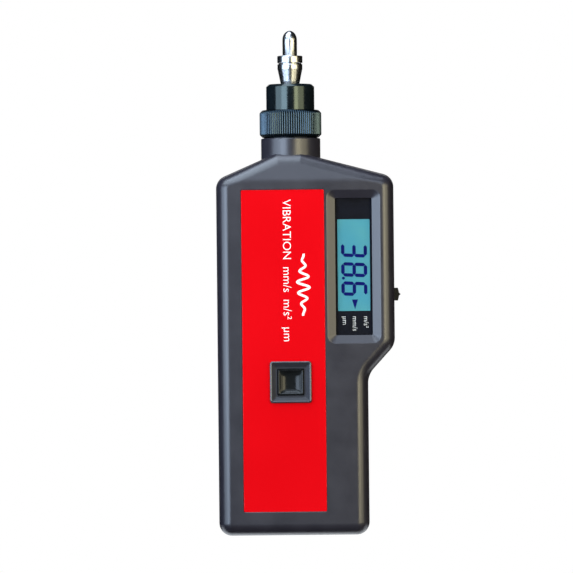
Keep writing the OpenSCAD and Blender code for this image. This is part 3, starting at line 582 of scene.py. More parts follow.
# %% [markdown]
# The door is a piece of the same skin, so that its face and its foot run on from the casing's. Two
# side tabs hold it behind the bay's lips. Five grooves for the thumb and a raised arrow show which
# way it slides.

# %% The battery door
door = mirrored(half_body("door_skin", -body["parting"], body["seam"]))
door_part = box("door_part", (-door_size["half"], door_size["inside"], door_size["below"]),
                (door_size["half"], door_size["past"], door_size["top"]))
door = carve(door, [door_part], "INTERSECT")
tabs = [side_block("tab", side, door_size["tab_inside"], door_size["half_with_tabs"],
                   door_size["tab_y"], door_size["tab_z"]) for side in (-1, 1)]
door = carve(door, tabs, "UNION")


def groove_cutter(z):
    """A finger groove with round ends: a circle carried along X, whose radius shrinks by
    sqrt(1 - e^2) over the last 0.45 mm at each end."""
    radius, straight, end = 0.5, 7.55, 0.45
    e = np.linspace(0, 0.98, 6)
    x = np.concatenate([-straight - end * e[::-1], straight + end * e])
    share = np.sqrt(1 - np.concatenate([e[::-1], e]) ** 2)[:, None]
    t = np.linspace(0, 2 * np.pi, 16, endpoint=False)
    return loft("groove", np.stack([np.repeat(x[:, None], 16, 1),
                                    body["half_depth"] + radius * share * np.sin(t),
                                    z + radius * share * np.cos(t)], -1) * mm)


grooves = {"count": 5, "top": 52.05, "pitch": 1.8}
door = carve(door, [groove_cutter(grooves["top"] - grooves["pitch"] * i)
                    for i in range(grooves["count"])])


def arrow_block():
    """A raised arrow that points down, the way the door slides off: a triangle of 7 x 4.5 mm that
    stands 0.15 mm proud. Its sides lean in by 0.1 mm over the last 0.1 mm."""
    half, top, point = 3.5, 41.0, 36.5
    rings = [np.array([(-half + 1.9 * lean, y, top - lean), (half - 1.9 * lean, y, top - lean),
                       (0, y, point + 1.9 * lean)]) * mm
             for lean, y in ((0.0, 14.2), (0.0, 14.55), (0.1, 14.65))]
    return loft("arrow", rings)


door = carve(door, [arrow_block()], "UNION")
door.name = door.data.name = "battery_door_skin"
smooth(door)
print("door:", len(door.data.polygons), "faces")

# %% [markdown]
# The casing's plastic is black-grey ABS from a mould with a finely sparked surface. The eye reads
# that as a broad satin sheen: highlights on the edge radius are soft and take the colour of the
# lights beside it. The grain is about 0.15 mm on the real one. It is drawn a little coarser so that
# it shows, and the colour drifts by a hair from handling.

# %% Casing plastic
casing_abs, shader = material_of("sparked_black_grey_ABS", "#2A2830", Roughness=0.32, IOR=1.54,
                                 Specular_IOR_Level=0.74)
noise = mottled(casing_abs, shader, 9.0, "#27252D", "#2D2B33")
vary(casing_abs, shader, "Roughness", noise.outputs["Fac"], 0.30, 0.34)
grained(casing_abs, shader, 0.28, 0.012, 0.55)
for piece, node, ridden in ((front, "front_casing", "housing"), (rear, "rear_casing", "housing"),
                            (door, "battery_door", "door")):
    dress(piece, casing_abs)
    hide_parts(node)
    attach(piece, ridden)
print("casing dressed")

# %% [markdown]
# The label is a red film with a clear gloss coat, let into a recess 0.5 mm deep. It is one flat
# sheet with a square hole for the key. Its rim is rolled over by a tenth of a millimetre, so that
# it shows a line of light.

# %% The red label
def plate_with_rim(name, x, z, a, b, r, y_back, y_front, rim=0.1):
    """A flat plate whose front edge is rounded: rings follow a quarter circle inwards."""
    rings = [rounded_square(x, z, a, b, r, y_back, 12)]
    for t in np.radians(np.linspace(0, 90, 5)):
        rings.append(rounded_square(x, z, a - rim * (1 - math.cos(t)), b - rim * (1 - math.cos(t)), r,
                                    y_front + rim * (1 - math.sin(t)), 12))
    return loft(name, rings)


label_gap = 0.1
label_film = plate_with_rim("label_film", (label["x0"] + label["x1"]) / 2,
                            (label["z0"] + label["z1"]) / 2, (label["x1"] - label["x0"]) / 2 - label_gap,
                            (label["z1"] - label["z0"]) / 2 - label_gap,
                            label["corner_r"] - label_gap, label["floor"], label["front"])
label_film = carve(label_film, [bar("key_hole", key["x"], key["z"], key["hole"], key["hole"],
                                    key["hole_r"], -16, -13)])
smooth(label_film)
# a clear coat over solid red: a pure colour with a faint, hardly wavy gloss
label_ink, shader = material_of("gloss_coated_red_film", "#DA0610", Roughness=0.13, IOR=1.45)
noise = mottled(label_ink, shader, 38.0, "#D7050F", "#DD0712", 1.5)
grained(label_ink, shader, 0.9, 0.003, 0.2)
dress(label_film, label_ink)
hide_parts("front_label")
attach(label_film, "housing")
print("label:", len(label_film.data.polygons), "faces")

# %% [markdown]
# White ink on the label: a line that tells what the meter reads, and a small wave. The letters run
# down the label, as the photographed print does, so they are turned a quarter turn clockwise.

# %% Printed marks
def printed(name, words, size, x, z, y, height, weight=0.0, start=False):
    """Letters as a thin raised film of this height: made flat, then stood up to face the front and
    turned a quarter turn clockwise, centred on x, z, or starting at z. Sizes are in mm."""
    curve = bpy.data.curves.new(name, "FONT")
    curve.body, curve.size, curve.offset = words, size, weight
    curve.align_x, curve.align_y = "CENTER", "CENTER"
    curve.extrude, curve.resolution_u = height / 2, 4
    holder = bpy.data.objects.new(name, curve)
    bpy.context.scene.collection.objects.link(holder)
    bpy.context.view_layer.update()
    mesh = bpy.data.meshes.new_from_object(holder.evaluated_get(bpy.context.evaluated_depsgraph_get()))
    bpy.data.objects.remove(holder)
    piece = bpy.data.objects.new(name, mesh)
    bpy.context.scene.collection.objects.link(piece)
    u, v, w = points_of(piece).T
    u, v = u - (u.min() if start else (u.min() + u.max()) / 2), v - (v.min() + v.max()) / 2
    return face_outwards(move_points(piece, np.stack([x + v, y - w, z - u], -1) * mm))


def ribbon(name, u, v, width, thick, x, z, y):
    """A flat stroke along the points (u, v), read down the label: u runs to -z and v to +x. Each
    point gets two edge points half a width to either side of the stroke's direction."""
    du, dv = np.gradient(u), np.gradient(v)
    length = np.hypot(du, dv)
    nu, nv = -dv / length * width / 2, du / length * width / 2
    edges = [np.stack([x + v + side * nv, np.full(len(u), y + d), z - (u + side * nu)], -1) * mm
             for side, d in ((1, 0), (1, -thick), (-1, -thick), (-1, 0))]
    return loft(name, np.array(edges).transpose(1, 0, 2))


def wave_height(u):
    """A sine wave, one swing in 4.05 mm, that dies out to both sides as a bell curve."""
    return 2.3 * np.exp(-(u / 7.0) ** 2) * np.sin(u * 1.55)


ink_height = 0.03
letters = {"size": 4.3, "x": -2.1, "z": 96.9}
swing = {"half": 11.3, "width": 0.85, "x": 4.1, "z": 91.6}
line = printed("label_line", "VIBRATION  mm/s  m/s²  µm", letters["size"], letters["x"],
               letters["z"], label["front"] - 0.02, ink_height, weight=-0.02)
u = np.linspace(-swing["half"], swing["half"], 200)
wave = ribbon("label_wave", u, wave_height(u), swing["width"], ink_height, swing["x"], swing["z"],
              label["front"] - 0.005)
# screen ink dries matt, so the letters stay white wherever the film beside them shines
white_ink, shader = material_of("screen_printed_white_ink", "#F2F0EC", Roughness=0.5, IOR=1.5)
mottled(white_ink, shader, 2.0, "#EFEDE9", "#F6F4F0")
for piece in (line, wave):
    dress(piece, white_ink)
    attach(piece, "housing")
print("print:", len(line.data.polygons), "faces of letters")

# %% [markdown]
# The display is a stack: a smoked clear window on top, black print on its back that leaves one
# clear field, and the liquid crystal glass under it with dark blue digits. The unit marks are white
# print on the black, and the digit's pointer stands over the mark of the unit that is measured.

# %% The window and its print
window = {"x": 22.575, "z": 98.05, "a": 7.725, "b": 26.05, "print_a": 7.7, "print_b": 26.0,
          "back": -11.6, "front": -12.7}
field = {"x": 22.6, "z": 98.6, "w": 11.8, "h": 33.5, "corner_r": 0.3}
print_back, print_front, units_back, crystal_back = -11.56, -11.585, -11.592, -11.515
pane = plate_with_rim("window_pane", window["x"], window["z"], window["a"], window["b"], 0.5,
                      window["back"], window["front"], 0.15)
smooth(pane)
# cast acrylic with a trace of dye: it takes a tenth off what lies under it and mirrors sharply
smoked, shader = material_of("smoked_clear_acrylic", "#0A0B10", Roughness=0.06, IOR=1.49, Alpha=0.1)
mottled(smoked, shader, 20.0, "#090A0F", "#0C0D12")
dress(pane, smoked)
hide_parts("display_window")
mask = plate_with_rim("window_print", window["x"], window["z"], window["print_a"],
                      window["print_b"], 0.4, print_back, print_front, 0.01)
mask = carve(mask, [bar("field", field["x"], field["z"], field["w"], field["h"],
                        field["corner_r"], -12, -11)])
smooth(mask)
# ink seen through the acrylic: an even blue-black with no texture of its own
black_print, shader = material_of("black_print_behind_acrylic", "#15161F", Roughness=0.25, IOR=1.5)
mottled(black_print, shader, 6.0, "#12131B", "#181A24")
dress(mask, black_print)
for piece in (pane, mask):
    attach(piece, "housing")
print("window:", len(mask.data.polygons), "faces")

# %% [markdown]
# The digits are laid out as seven strokes each, with pointed ends, as on any such display. They lean
# a little, and the thin film of dark crystal stands just over the glass.

# %% The digits
strokes = {"a": ((0, 2), (1, 2)), "b": ((1, 2), (1, 1)), "c": ((1, 1), (1, 0)), "d": ((0, 0), (1, 0)),
           "e": ((0, 1), (0, 0)), "f": ((0, 2), (0, 1)), "g": ((0, 1), (1, 1))}
lit = {"3": "abcdg", "8": "abcdefg", "6": "acdefg"}


def stroke(p, q, wide, gap=0.05):
    """A stroke from p to q with pointed ends: six points round it, in (u, v)."""
    p, q = np.array(p, float), np.array(q, float)
    d = (q - p) / np.linalg.norm(q - p)
    n = np.array([-d[1], d[0]])
    p, q, h = p + d * gap, q - d * gap, wide / 2
    return np.array([p, p + (d + n) * h, q + (-d + n) * h, q, q + (-d - n) * h, p + (d - n) * h])


def prism(polygons, x, z, y, thick):
    """Flat shapes in (u, v), u down the display and v across it, as thin prisms facing front."""
    points, faces = [], []
    for shape in polygons:
        n, base = len(shape), len(points)
        for d in (0, -thick):
            points += [((x + v) * mm, (y + d) * mm, (z - u) * mm) for u, v in shape]
        faces += [list(range(base, base + n))[::-1], list(range(base + n, base + 2 * n))]
        faces += [[base + i, base + (i + 1) % n, base + n + (i + 1) % n, base + n + i] for i in range(n)]
    return points, faces


def digit(mark, u0, width=4.0, height=8.25, wide=1.25, slant=0.05):
    """The lit strokes of one digit whose left edge is at u0."""
    shapes = []
    for name in lit[mark]:
        (a, b), (c, d) = strokes[name]
        shape = stroke((a * width, b * height / 2), (c * width, d * height / 2), wide)
        shape[:, 0] += u0 + slant * shape[:, 1]
        shapes.append(shape)
    return shapes


reading_x, reading_z, crystal_film = 18.6, 106.6, 0.02
dot = {"u": 12.75, "v": 0.15, "r": 0.55}
t = np.linspace(0, 2 * np.pi, 12, endpoint=False)
decimal_point = np.stack([dot["u"] + dot["r"] * np.cos(t), dot["v"] + dot["r"] * np.sin(t)], -1)
pointer = np.array([(20.6, 3.2), (24.2, 4.3), (20.6, 5.4)])
shapes = digit("3", 0.3) + digit("8", 7.5) + digit("6", 14.5) + [decimal_point, pointer]
points, faces = prism(shapes, reading_x, reading_z, crystal_back, crystal_film)
digits = face_outwards(add_mesh("lcd_digits", points, faces))
# turned crystal blocks the light: dark blue strokes that hardly mirror
lcd_ink, shader = material_of("dark_liquid_crystal", "#020C6C", Roughness=0.4, IOR=1.5,
                              Specular_IOR_Level=0.15)
mottled(lcd_ink, shader, 3.0, "#020A64", "#031074")
dress(digits, lcd_ink)
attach(digits, "housing")
# the field is given a faint painted glow, an emission of 0.3 in its own teal, that lightens it
lcd_teal, shader = material_of("liquid_crystal_glass_with_painted_glow", "#529DAB", Roughness=0.18, IOR=1.52,
                               Emission_Color=linear("#509EAD"), Emission_Strength=0.3)
mottled(lcd_teal, shader, 12.0, "#4C99AD", "#59A2A9", 1.5)
dress(nodes["lcd_glass"], lcd_teal)
print("digits:", len(digits.data.polygons), "faces")

# %% [markdown]
# The three units stand side by side below the clear field, on the window's black print. They are
# white screen print like the label's letters, so they take the same ink. Their letters run down
# too, and all three start at one height.

# %% The unit marks
unit_size, unit_start, unit_film = 2.5, 79.8, 0.004
unit_spots = (("µm", 18.7), ("mm/s", 22.85), ("m/s²", 26.95))
for number, (words, x) in enumerate(unit_spots):
    mark = printed("unit_mark_%d" % number, words, unit_size, x, unit_start, units_back, unit_film,
                   start=True)
    dress(mark, white_ink)
    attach(mark, "housing")
print("unit marks:", len(unit_spots))

# %% [markdown]
# The measure key is a square black button in a raised frame. The frame's inside slopes down to a
# narrow flat ring, so it is a stack of rounded squares that closes on itself. The button's top is a
# shallow dish, rounder across than along, and the dish is what shows two upright crescents of
# light. The frame's lip is rubbed smooth by thumbs, so it shines more than the slopes inside it.

# %% The key's frame and the button
def key_frame():
    """Rounded squares of (half side, corner radius, depth), joined in order and closed into a ring:
    up the outside, over the rounded edge and the lip, down the slope, and back inside the hole."""
    side, top, roll = 7.6, -15.3, 0.42
    quarter = [(side - roll * (1 - math.cos(v)), 1.0, top + roll * (1 - math.sin(v)))
               for v in np.radians(np.linspace(0, 90, 7))]
    lip = [(7.1, 0.6, top), (6.95, 0.55, -15.26), (6.82, 0.5, -15.15), (6.72, 0.5, -15.0)]
    slope = [(5.55, 0.42, -14.16), (5.45, 0.4, -14.1), (4.98, 0.4, -14.1), (4.9, 0.4, -14.02)]
    inside = [(4.9, 0.4, -13.2), (6.0, 0.4, -13.2), (6.0, 0.4, -11.6), (6.6, 0.9, -11.6),
              (6.6, 0.9, -14.3)]
    levels = [(side, 1.0, -14.3), (side, 1.0, -14.75)] + quarter + lip + slope + inside
    return loft("key_frame", [rounded_square(key["x"], key["z"], a, a, r, y, 10) for a, r, y in levels],
                looped=True)


bezel = smooth(key_frame(), 25)


def dished_button():
    """Rounded squares that grow from the middle of the top out to the edge. The dish is 1.15 mm deep
    times (1 - |x / a|^3.3) times (1 - |z / a|^5), so it is rounder across than along."""
    top, depth, rim = -14.6, 1.15, 4.25
    rings = []
    for f in np.linspace(0.02, 1, 30):
        a = 4.45 * f
        ring = rounded_square(key["x"], key["z"], a, a, a * (1 - 0.9 * f ** 2), top, 12)
        across = np.clip(np.abs(ring[:, 0] / mm - key["x"]) / rim, 0, 1)
        along = np.clip(np.abs(ring[:, 2] / mm - key["z"]) / rim, 0, 1)
        ring[:, 1] = (top + depth * (1 - across ** 3.3) * (1 - along ** 5)) * mm
        rings.append(ring)
    side, roll = 4.6, 0.15
    edge = [(side - roll * (1 - math.cos(v)), 0.4, top + roll * (1 - math.sin(v)))
            for v in np.radians([70, 45, 20, 0])]
    foot = [(side, 0.4, -12.9), (5.7, 0.4, -12.9), (5.7, 0.4, -12.1), (0.3, 0.25, -12.1)]
    rings += [rounded_square(key["x"], key["z"], a, a, r, y, 12) for a, r, y in edge + foot]
    return loft("dished_button", rings)


button = smooth(dished_button(), 35)
print("key:", len(bezel.data.polygons) + len(button.data.polygons), "faces")

# %% [markdown]
# The frame is ABS from a finer mould than the casing's, and the button is polished polycarbonate.
# The frame's shine goes by how far a point is from the key's middle, across or along, whichever is
# more. That distance is the same all round a square, so the bright lip is a square too.

# %% The key's plastics
# moulded ABS, finer and greyer than the casing's: dull slopes under a lip that is rubbed bright
bezel_abs, shader = material_of("satin_grey_ABS_key_frame", "#36373D", Roughness=0.34, IOR=1.5,
                                Specular_IOR_Level=0.2)
mottled(bezel_abs, shader, 5.0, "#303138", "#36373E")
grained(bezel_abs, shader, 0.25, 0.006, 0.3)
place = add(bezel_abs, "ShaderNodeTexCoord")
centred = add(bezel_abs, "ShaderNodeVectorMath", {"operation": "SUBTRACT"}, i0=place.outputs["Object"],
              i1=(key["x"] * mm, 0, key["z"] * mm))
sides = add(bezel_abs, "ShaderNodeVectorMath", {"operation": "ABSOLUTE"}, i0=centred.outputs["Vector"])
parts = add(bezel_abs, "ShaderNodeSeparateXYZ", Vector=sides.outputs["Vector"])
from_middle = add(bezel_abs, "ShaderNodeMath", {"operation": "MAXIMUM"}, i0=parts.outputs["X"],
                  i1=parts.outputs["Z"])
lip = add(bezel_abs, "ShaderNodeMapRange", Value=from_middle.outputs[0], From_Min=6.75 * mm,
          From_Max=7.0 * mm, To_Min=0.2, To_Max=1.0)
join(bezel_abs, lip.outputs["Result"], shader.inputs["Specular IOR Level"])
vary(bezel_abs, shader, "Roughness", lip.outputs["Result"], 0.36, 0.24)
# polycarbonate from a polished mould: black with tight highlights
button_pc, shader = material_of("polished_black_polycarbonate", "#17191A", Roughness=0.2, IOR=1.585,
                                Specular_IOR_Level=0.22)
noise = mottled(button_pc, shader, 3.0, "#141617", "#1A1C1D")
vary(button_pc, shader, "Roughness", noise.outputs["Fac"], 0.18, 0.24)
dress(bezel, bezel_abs)
dress(button, button_pc)
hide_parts("button_bezel")
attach(bezel, "housing")
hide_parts("measure_button")
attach(button, "measure_key")
print("key dressed")

# %% [markdown]
# The selector is a small black slide on the right edge. It shows only its hump with a nib in the
# middle, so it is the hump's outline carried across its width, rounded at both sides, on a shutter
# that closes the slot from inside.

# %% The selector's knob
def selector_hump():
    """The hump's outline in (x, z) rises to its middle, where a nib stands up as 1 - |z / 0.36|^4.
    Near both sides the outline drops over a quarter circle of radius 0.3 mm."""
    half, foot, crest, roll, half_width = 2.35, 34.6, 38.78, 0.3, 1.6
    z = np.concatenate([np.linspace(-half, -0.45, 10), [-0.3, -0.15, 0.15, 0.3],
                        np.linspace(0.45, half, 10)])
    lean = np.clip((half - np.abs(z)) / 2.05, 0, 1)
    top = crest + 0.52 * lean + 0.4 * np.clip(1 - (np.abs(z) / 0.36) ** 4, 0, 1)
    quarter = np.radians([0, 30, 60, 90])
    inwards = roll * (1 - np.cos(quarter))
    depths = np.concatenate([-half_width + inwards, half_width - inwards[::-1]])
    drops = roll * (1 - np.sin(np.concatenate([quarter, quarter[::-1]])))
    rings = []
    for y, drop in zip(depths, drops):
        along = np.clip(z, -half + drop * 0.6, half - drop * 0.6)
        along = np.concatenate([along[:1], along, along[-1:]])
        x = np.concatenate([[foot], top - drop, [foot]])
        rings.append(np.stack([x, np.full(len(x), selector["y"] + y), selector["z"] + along], -1) * mm)
    return loft("selector_hump", rings)


shutter = selector_block("shutter", 34.3, 34.9, *selector["shutter"])
knob = smooth(carve(selector_hump(), [shutter], "UNION"), 40)
# acetal, waxy and slippery: a dull black with a broad, weak sheen
knob_pom, shader = material_of("moulded_black_acetal", "#131417", Roughness=0.42, IOR=1.48,
                               Specular_IOR_Level=0.3)
mottled(knob_pom, shader, 2.0, "#111215", "#16171A")
grained(knob_pom, shader, 0.2, 0.01, 0.4)
dress(knob, knob_pom)
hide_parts("mode_knob")
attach(knob, "selector")
print("knob:", len(knob.data.polygons), "faces")

# %% [markdown]
# The knurled ring is turned aluminium with 82 straight ridges, anodised dark blue-grey. The ridges
# are a wave round the ring, with wide round crests and narrow grooves, and the wave fades out over
# the 1.3 mm chamfers. The grooves get painted shade, a darker colour that follows the distance from
# the axis. The bore is cut with a fine thread that never shows, so it is left plain.

# %% The knurled ring
def knurled_surface():
    """Radius = crest(z) - depth * fade(z) * (1 - ridge(t)), with ridge = 1 - |sin(41 t)|^3, round
    at its crest. fade goes from 0 at the chamfers' outer ends to 1 along the straight part."""
    ridges, columns_each, depth = 82, 10, 0.36
    t = np.linspace(0, 2 * np.pi, ridges * columns_each, endpoint=False)
    ridge = 1 - np.abs(np.sin(ridges / 2 * t)) ** 3
    z = np.array([145.7, 145.72, 145.95, 146.2, 146.45, 146.7, 147.0, 150.7, 154.5, 154.8, 155.05,
                  155.3, 155.55, 155.78, 155.8])
    crest = np.array([10.2, 10.35, 10.58, 10.83, 11.05, 11.3, 11.35, 11.35, 11.35, 11.3, 11.05,
                      10.83, 10.58, 10.35, 10.2])
    fade = np.array([0, 0, 0.1, 0.3, 0.6, 0.95, 1, 1, 1, 0.95, 0.6, 0.3, 0.1, 0, 0])
    r = crest[:, None] - depth * fade[:, None] * (1 - ridge[None, :])
    outer = np.stack([r * np.cos(t), r * np.sin(t), np.repeat(z[:, None], len(t), 1)], -1)
    bore = [np.stack([b * np.cos(t), b * np.sin(t), np.full(len(t), h)], -1)
            for b, h in ((10.0, 155.8), (9.88, 155.7), (9.88, 145.8), (10.0, 145.7))]
    return loft("knurled_sleeve_ring", np.concatenate([outer, bore]) * mm, looped=True)


ring = smooth(knurled_surface(), 50, weighted=False)
# turned, knurled and anodised: every crest draws its own bright line
ring_metal, shader = material_of("dark_anodised_aluminium", "#495863", Metallic=0.9, Roughness=0.25)
noise = mottled(ring_metal, shader, 4.0, "#45545E", "#4D5C67")
vary(ring_metal, shader, "Roughness", noise.outputs["Fac"], 0.2, 0.28)
# painted shade: the colour goes to a darker #1B2830 in the grooves, darkest below 11.02 mm from the axis
colour_without_groove_shade = shader.inputs["Base Color"].links[0].from_socket
place = add(ring_metal, "ShaderNodeTexCoord")
across_axis = add(ring_metal, "ShaderNodeVectorMath", {"operation": "MULTIPLY"},
                  i0=place.outputs["Object"], i1=(1, 1, 0))
radius = add(ring_metal, "ShaderNodeVectorMath", {"operation": "LENGTH"}, i0=across_axis.outputs["Vector"])
crest = add(ring_metal, "ShaderNodeMapRange", Value=radius.outputs["Value"], From_Min=11.02 * mm,
            From_Max=11.3 * mm)
painted_groove_shade = add(ring_metal, "ShaderNodeMix", {"data_type": "RGBA"}, Factor=crest.outputs["Result"],
              i6=linear("#1B2830"), i7=colour_without_groove_shade)
join(ring_metal, painted_groove_shade.outputs[2], shader.inputs["Base Color"])
dress(ring, ring_metal)
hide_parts("knurled_ring")
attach(ring, "ring")
print("ring:", len(ring.data.polygons), "faces")

# %% [markdown]
# The sensor's housing is turned aluminium too, polished and anodised black, so it mirrors the
# lamps as a cool band and a warm band. The contact tip is polished steel. Both are profiles
# turned round the axis, with each corner broken by a small arc, because a real turned edge is never
# quite sharp and the arc is what draws its bright line.

# %% The sensor's housing and the contact tip
housing_profile = ([(1.6, 161.3), (6.6, 161.3), (6.6, 153.3), (7.5, 153.3), (7.5, 152.0), (9.75, 152.0)]
                   + [(9.75, 153.9), (9.65, 154.0), (8.975, 154.0), (8.875, 154.1)]
                   + arc(8.675, 164.3, 0.2, 0, 45, 3) + arc(7.875, 165.1, 0.2, 45, 90, 3)
                   + [(2.7, 165.3), (2.58, 165.2), (2.58, 163.3), (1.6, 163.3)])
housing = smooth(turned("sensor_cap", housing_profile, 256), 30)
tip_profile = ([(0, 163.4), (2.5, 163.4), (2.5, 165.35), (3.35, 165.35), (3.45, 165.45)]
               + [(4.5, 170.6), (4.6, 170.85)]
               + arc(4.35, 172.5, 0.25, 0, 90, 4) + [(4.2, 172.76), (4.14, 172.82), (4.14, 173.0)]
               + arc(4.4, 173.3, 0.25, -90, 0, 4) + arc(4.4, 175.5, 0.25, 0, 90, 4)
               + [(2.9, 175.75), (2.72, 175.82), (2.68, 175.95)]
               + [(2.68 * math.cos(v), 181.55 + 3.5 * math.sin(v))
                  for v in np.radians(np.linspace(0, 88, 20))] + [(0, 185.05)])
tip = smooth(turned("steel_tip", tip_profile, 256), 30)
print("head:", len(housing.data.polygons) + len(tip.data.polygons), "faces")

# %% [markdown]
# Black anodising is a glassy oxide layer on the metal, so it is a dark shader that isn't metallic,
# with a high IOR. The steel's gloss runs in rings, as the lathe's last pass leaves it: the noise is
# stretched across the axis and has a grain of 0.4 mm along it.

# %% The head's metals
cap_metal, shader = material_of("polished_black_anodised_aluminium", "#10161A", Roughness=0.16,
                                IOR=1.65, Specular_Tint=linear("#DDF2EC"))
noise = mottled(cap_metal, shader, 3.0, "#0E1417", "#12191D")
vary(cap_metal, shader, "Roughness", noise.outputs["Fac"], 0.13, 0.2)
tip_steel, shader = material_of("polished_stainless_steel", "#D6D8DC", Metallic=1.0, Roughness=0.12)
place = add(tip_steel, "ShaderNodeTexCoord")
lathe = add(tip_steel, "ShaderNodeMapping", Vector=place.outputs["Object"], Scale=(0.02, 0.02, 1))
rings_left = add(tip_steel, "ShaderNodeTexNoise", Vector=lathe.outputs["Vector"], Scale=1 / (0.4 * mm),
                 Detail=1.0)
vary(tip_steel, shader, "Roughness", rings_left.outputs["Fac"], 0.24, 0.27)
for piece, node, ridden, metal in ((housing, "sensor_housing", "housing", cap_metal),
                                   (tip, "contact_tip", "tip", tip_steel)):
    dress(piece, metal)
    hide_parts(node)
    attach(piece, ridden)
print("head dressed")

# %% [markdown]
# The parts inside keep their CAD solids. They show only with the door off or in an exploded view,
# but each still gets the finish of the real thing.

# %% Finishes of the parts inside
def patterned(name, colour, low, high, size_mm, grain_mm=0.0, depth_mm=0.01, **sockets):
    """A material whose colour drifts between two values, with a grain where one is named."""
    material, shader = material_of(name, colour, **sockets)
    mottled(material, shader, size_mm, low, high)
    if grain_mm:
        grained(material, shader, grain_mm, depth_mm, 0.5)
    return material


finishes = {
    # green solder mask over copper: glossy, with a faint weave
    "main_board": patterned("green_solder_mask_on_FR4", "#1C5A35", "#1A5331", "#20643B", 1.2, 0.6,
                            Roughness=0.3, IOR=1.5),
    # moulded epoxy: dull and slightly grainy
    "processor_chip": patterned("moulded_black_epoxy", "#1E1E20", "#1B1B1D", "#242426", 1.0, 0.12,
                                Roughness=0.6, IOR=1.5),
    # a drawn can: smooth bare metal
    "capacitors": patterned("drawn_aluminium_can", "#A9ABAF", "#A2A4A8", "#B2B4B8", 1.5,
                            Roughness=0.3, Metallic=1.0),
    # opal plastic: matt white that scatters evenly
    "lcd_reflector": patterned("white_diffuser_plastic", "#E6E6E4", "#E2E2E0", "#EAEAE8", 5.0,
                               Roughness=0.6, IOR=1.5),
    # rubber in thin dark and light layers: quite matt
    "zebra_strips": patterned("carbon_filled_silicone", "#26262A", "#1C1C20", "#303034", 0.2,
                              Roughness=0.75, IOR=1.41),
    # nylon: a soft shine on a strong colour
    "key_plunger": patterned("red_nylon_plunger", "#B23A2C", "#A83528", "#BC4030", 1.0, 0.2,
                             Roughness=0.45, IOR=1.53),
    # tinned sheet: bright, with a cloudy gloss
    "slide_switch": patterned("tinned_steel_can", "#B8BABD", "#B0B2B5", "#C2C4C7", 1.0,
                              Roughness=0.32, Metallic=1.0),
    # steel given a dark colour as painted shade for the gap under the ring, where it shows: dark metal
    # with an oily sheen
    "neck_sleeve": patterned("steel_sleeve_dark_as_gap_shade", "#2A2C2F", "#26282B", "#303236", 1.5,
                             Roughness=0.4, Metallic=1.0),
    # rubber: matt black
    "seal_ring": patterned("nitrile_rubber", "#1F1F20", "#1B1B1C", "#252526", 0.8, 0.15,
                           Roughness=0.7, IOR=1.52),
    # fired ceramic: chalky and pale
    "piezo_element": patterned("fired_piezo_ceramic", "#C9B89A", "#C2B193", "#D0BFA1", 0.6, 0.1,
                               Roughness=0.55, IOR=1.6),
    # turned heavy brass: yellow metal, going dull
    "seismic_mass": patterned("tungsten_brass_mass", "#8F7B4A", "#877343", "#988452", 1.0,
                              Roughness=0.35, Metallic=1.0),
    # zinc plating: grey metal with a milky shine
    "casing_screws": patterned("zinc_plated_steel", "#A6A9AD", "#9DA0A4", "#AFB2B6", 0.8,
                               Roughness=0.35, Metallic=1.0),
    # soft vinyl: half matt, with a fine grain
    "sensor_cable": patterned("black_PVC_lead", "#232326", "#1F1F22", "#29292C", 1.0, 0.2,
                              Roughness=0.5, IOR=1.53),
    # paint on tinned steel: a smooth plain coat with a clear gloss
    "battery": patterned("painted_steel_battery_jacket", "#3F4B57", "#3A4651", "#45525F", 6.0,
                         Roughness=0.32, IOR=1.5),
    # nylon with glass in it: a grainy half-matt black
    "battery_snap": patterned("moulded_black_nylon", "#1F1F21", "#1B1B1D", "#252527", 1.0, 0.15,
                              Roughness=0.5, IOR=1.53),
    # coloured vinyl: brighter and smoother than the cable's
    "battery_leads": patterned("red_PVC_wire", "#A01A1E", "#96171B", "#AA1E22", 1.0, 0.2,
                               Roughness=0.45, IOR=1.53),
}
same_finish = {"amplifier_chips": "processor_chip", "key_switch": "processor_chip",
               "switch_slider": "battery_snap", "sensor_base": "slide_switch",
               "preload_bolt": "casing_screws", "board_screws": "casing_screws"}
for node, finish in finishes.items():
    dress(nodes[node], finish)
for node, other in same_finish.items():
    dress(nodes[node], finishes[other])
print("inner finishes:", len(finishes))

# %% [markdown]
# The photograph is a cut-out: the object hangs free on white, and no table shows. So the floor is a
# plain pale table 62 mm below it, which also leaves room for the battery door to slide out
# downwards. It fades into nothing within 30 cm. The camera sees the floor lifted to near white, and
# a mirror or glass sees a third of that lift.

# %% Floor
table_z, fade_start, fade_end = -62.0, 0.10, 0.30
camera_lift, mirror_share = 0.62, 0.35
floor = box("floor", (-500, -500, table_z - 4), (500, 500, table_z))
floor_paint, shader = material_of("pale_matt_table", "#F4F4F4", Roughness=0.9, Specular_IOR_Level=0.0)
mottled(floor_paint, shader, 300.0, "#F2F2F2", "#F6F6F6")
seen = add(floor_paint, "ShaderNodeLightPath")
mirrored_ray = add(floor_paint, "ShaderNodeMath", {"operation": "MAXIMUM"},
                   i0=seen.outputs["Is Glossy Ray"], i1=seen.outputs["Is Transmission Ray"])
dimmed = add(floor_paint, "ShaderNodeMath", {"operation": "MULTIPLY"}, i0=mirrored_ray.outputs[0],
             i1=mirror_share)
looked_at = add(floor_paint, "ShaderNodeMath", {"operation": "MAXIMUM"}, i0=seen.outputs["Is Camera Ray"],
                i1=dimmed.outputs[0])
lift = add(floor_paint, "ShaderNodeMath", {"operation": "MULTIPLY"}, i0=looked_at.outputs[0],
           i1=camera_lift)
glow = add(floor_paint, "ShaderNodeEmission", Color=(1, 1, 1, 1), Strength=lift.outputs[0])
lit_floor = add(floor_paint, "ShaderNodeAddShader", i0=shader.outputs["BSDF"], i1=glow.outputs["Emission"])
spot = add(floor_paint, "ShaderNodeTexCoord")
from_axis = add(floor_paint, "ShaderNodeVectorMath", {"operation": "LENGTH"}, i0=spot.outputs["Object"])
fade = add(floor_paint, "ShaderNodeMapRange", Value=from_axis.outputs["Value"],
           From_Min=fade_start, From_Max=fade_end)
nothing = add(floor_paint, "ShaderNodeBsdfTransparent")
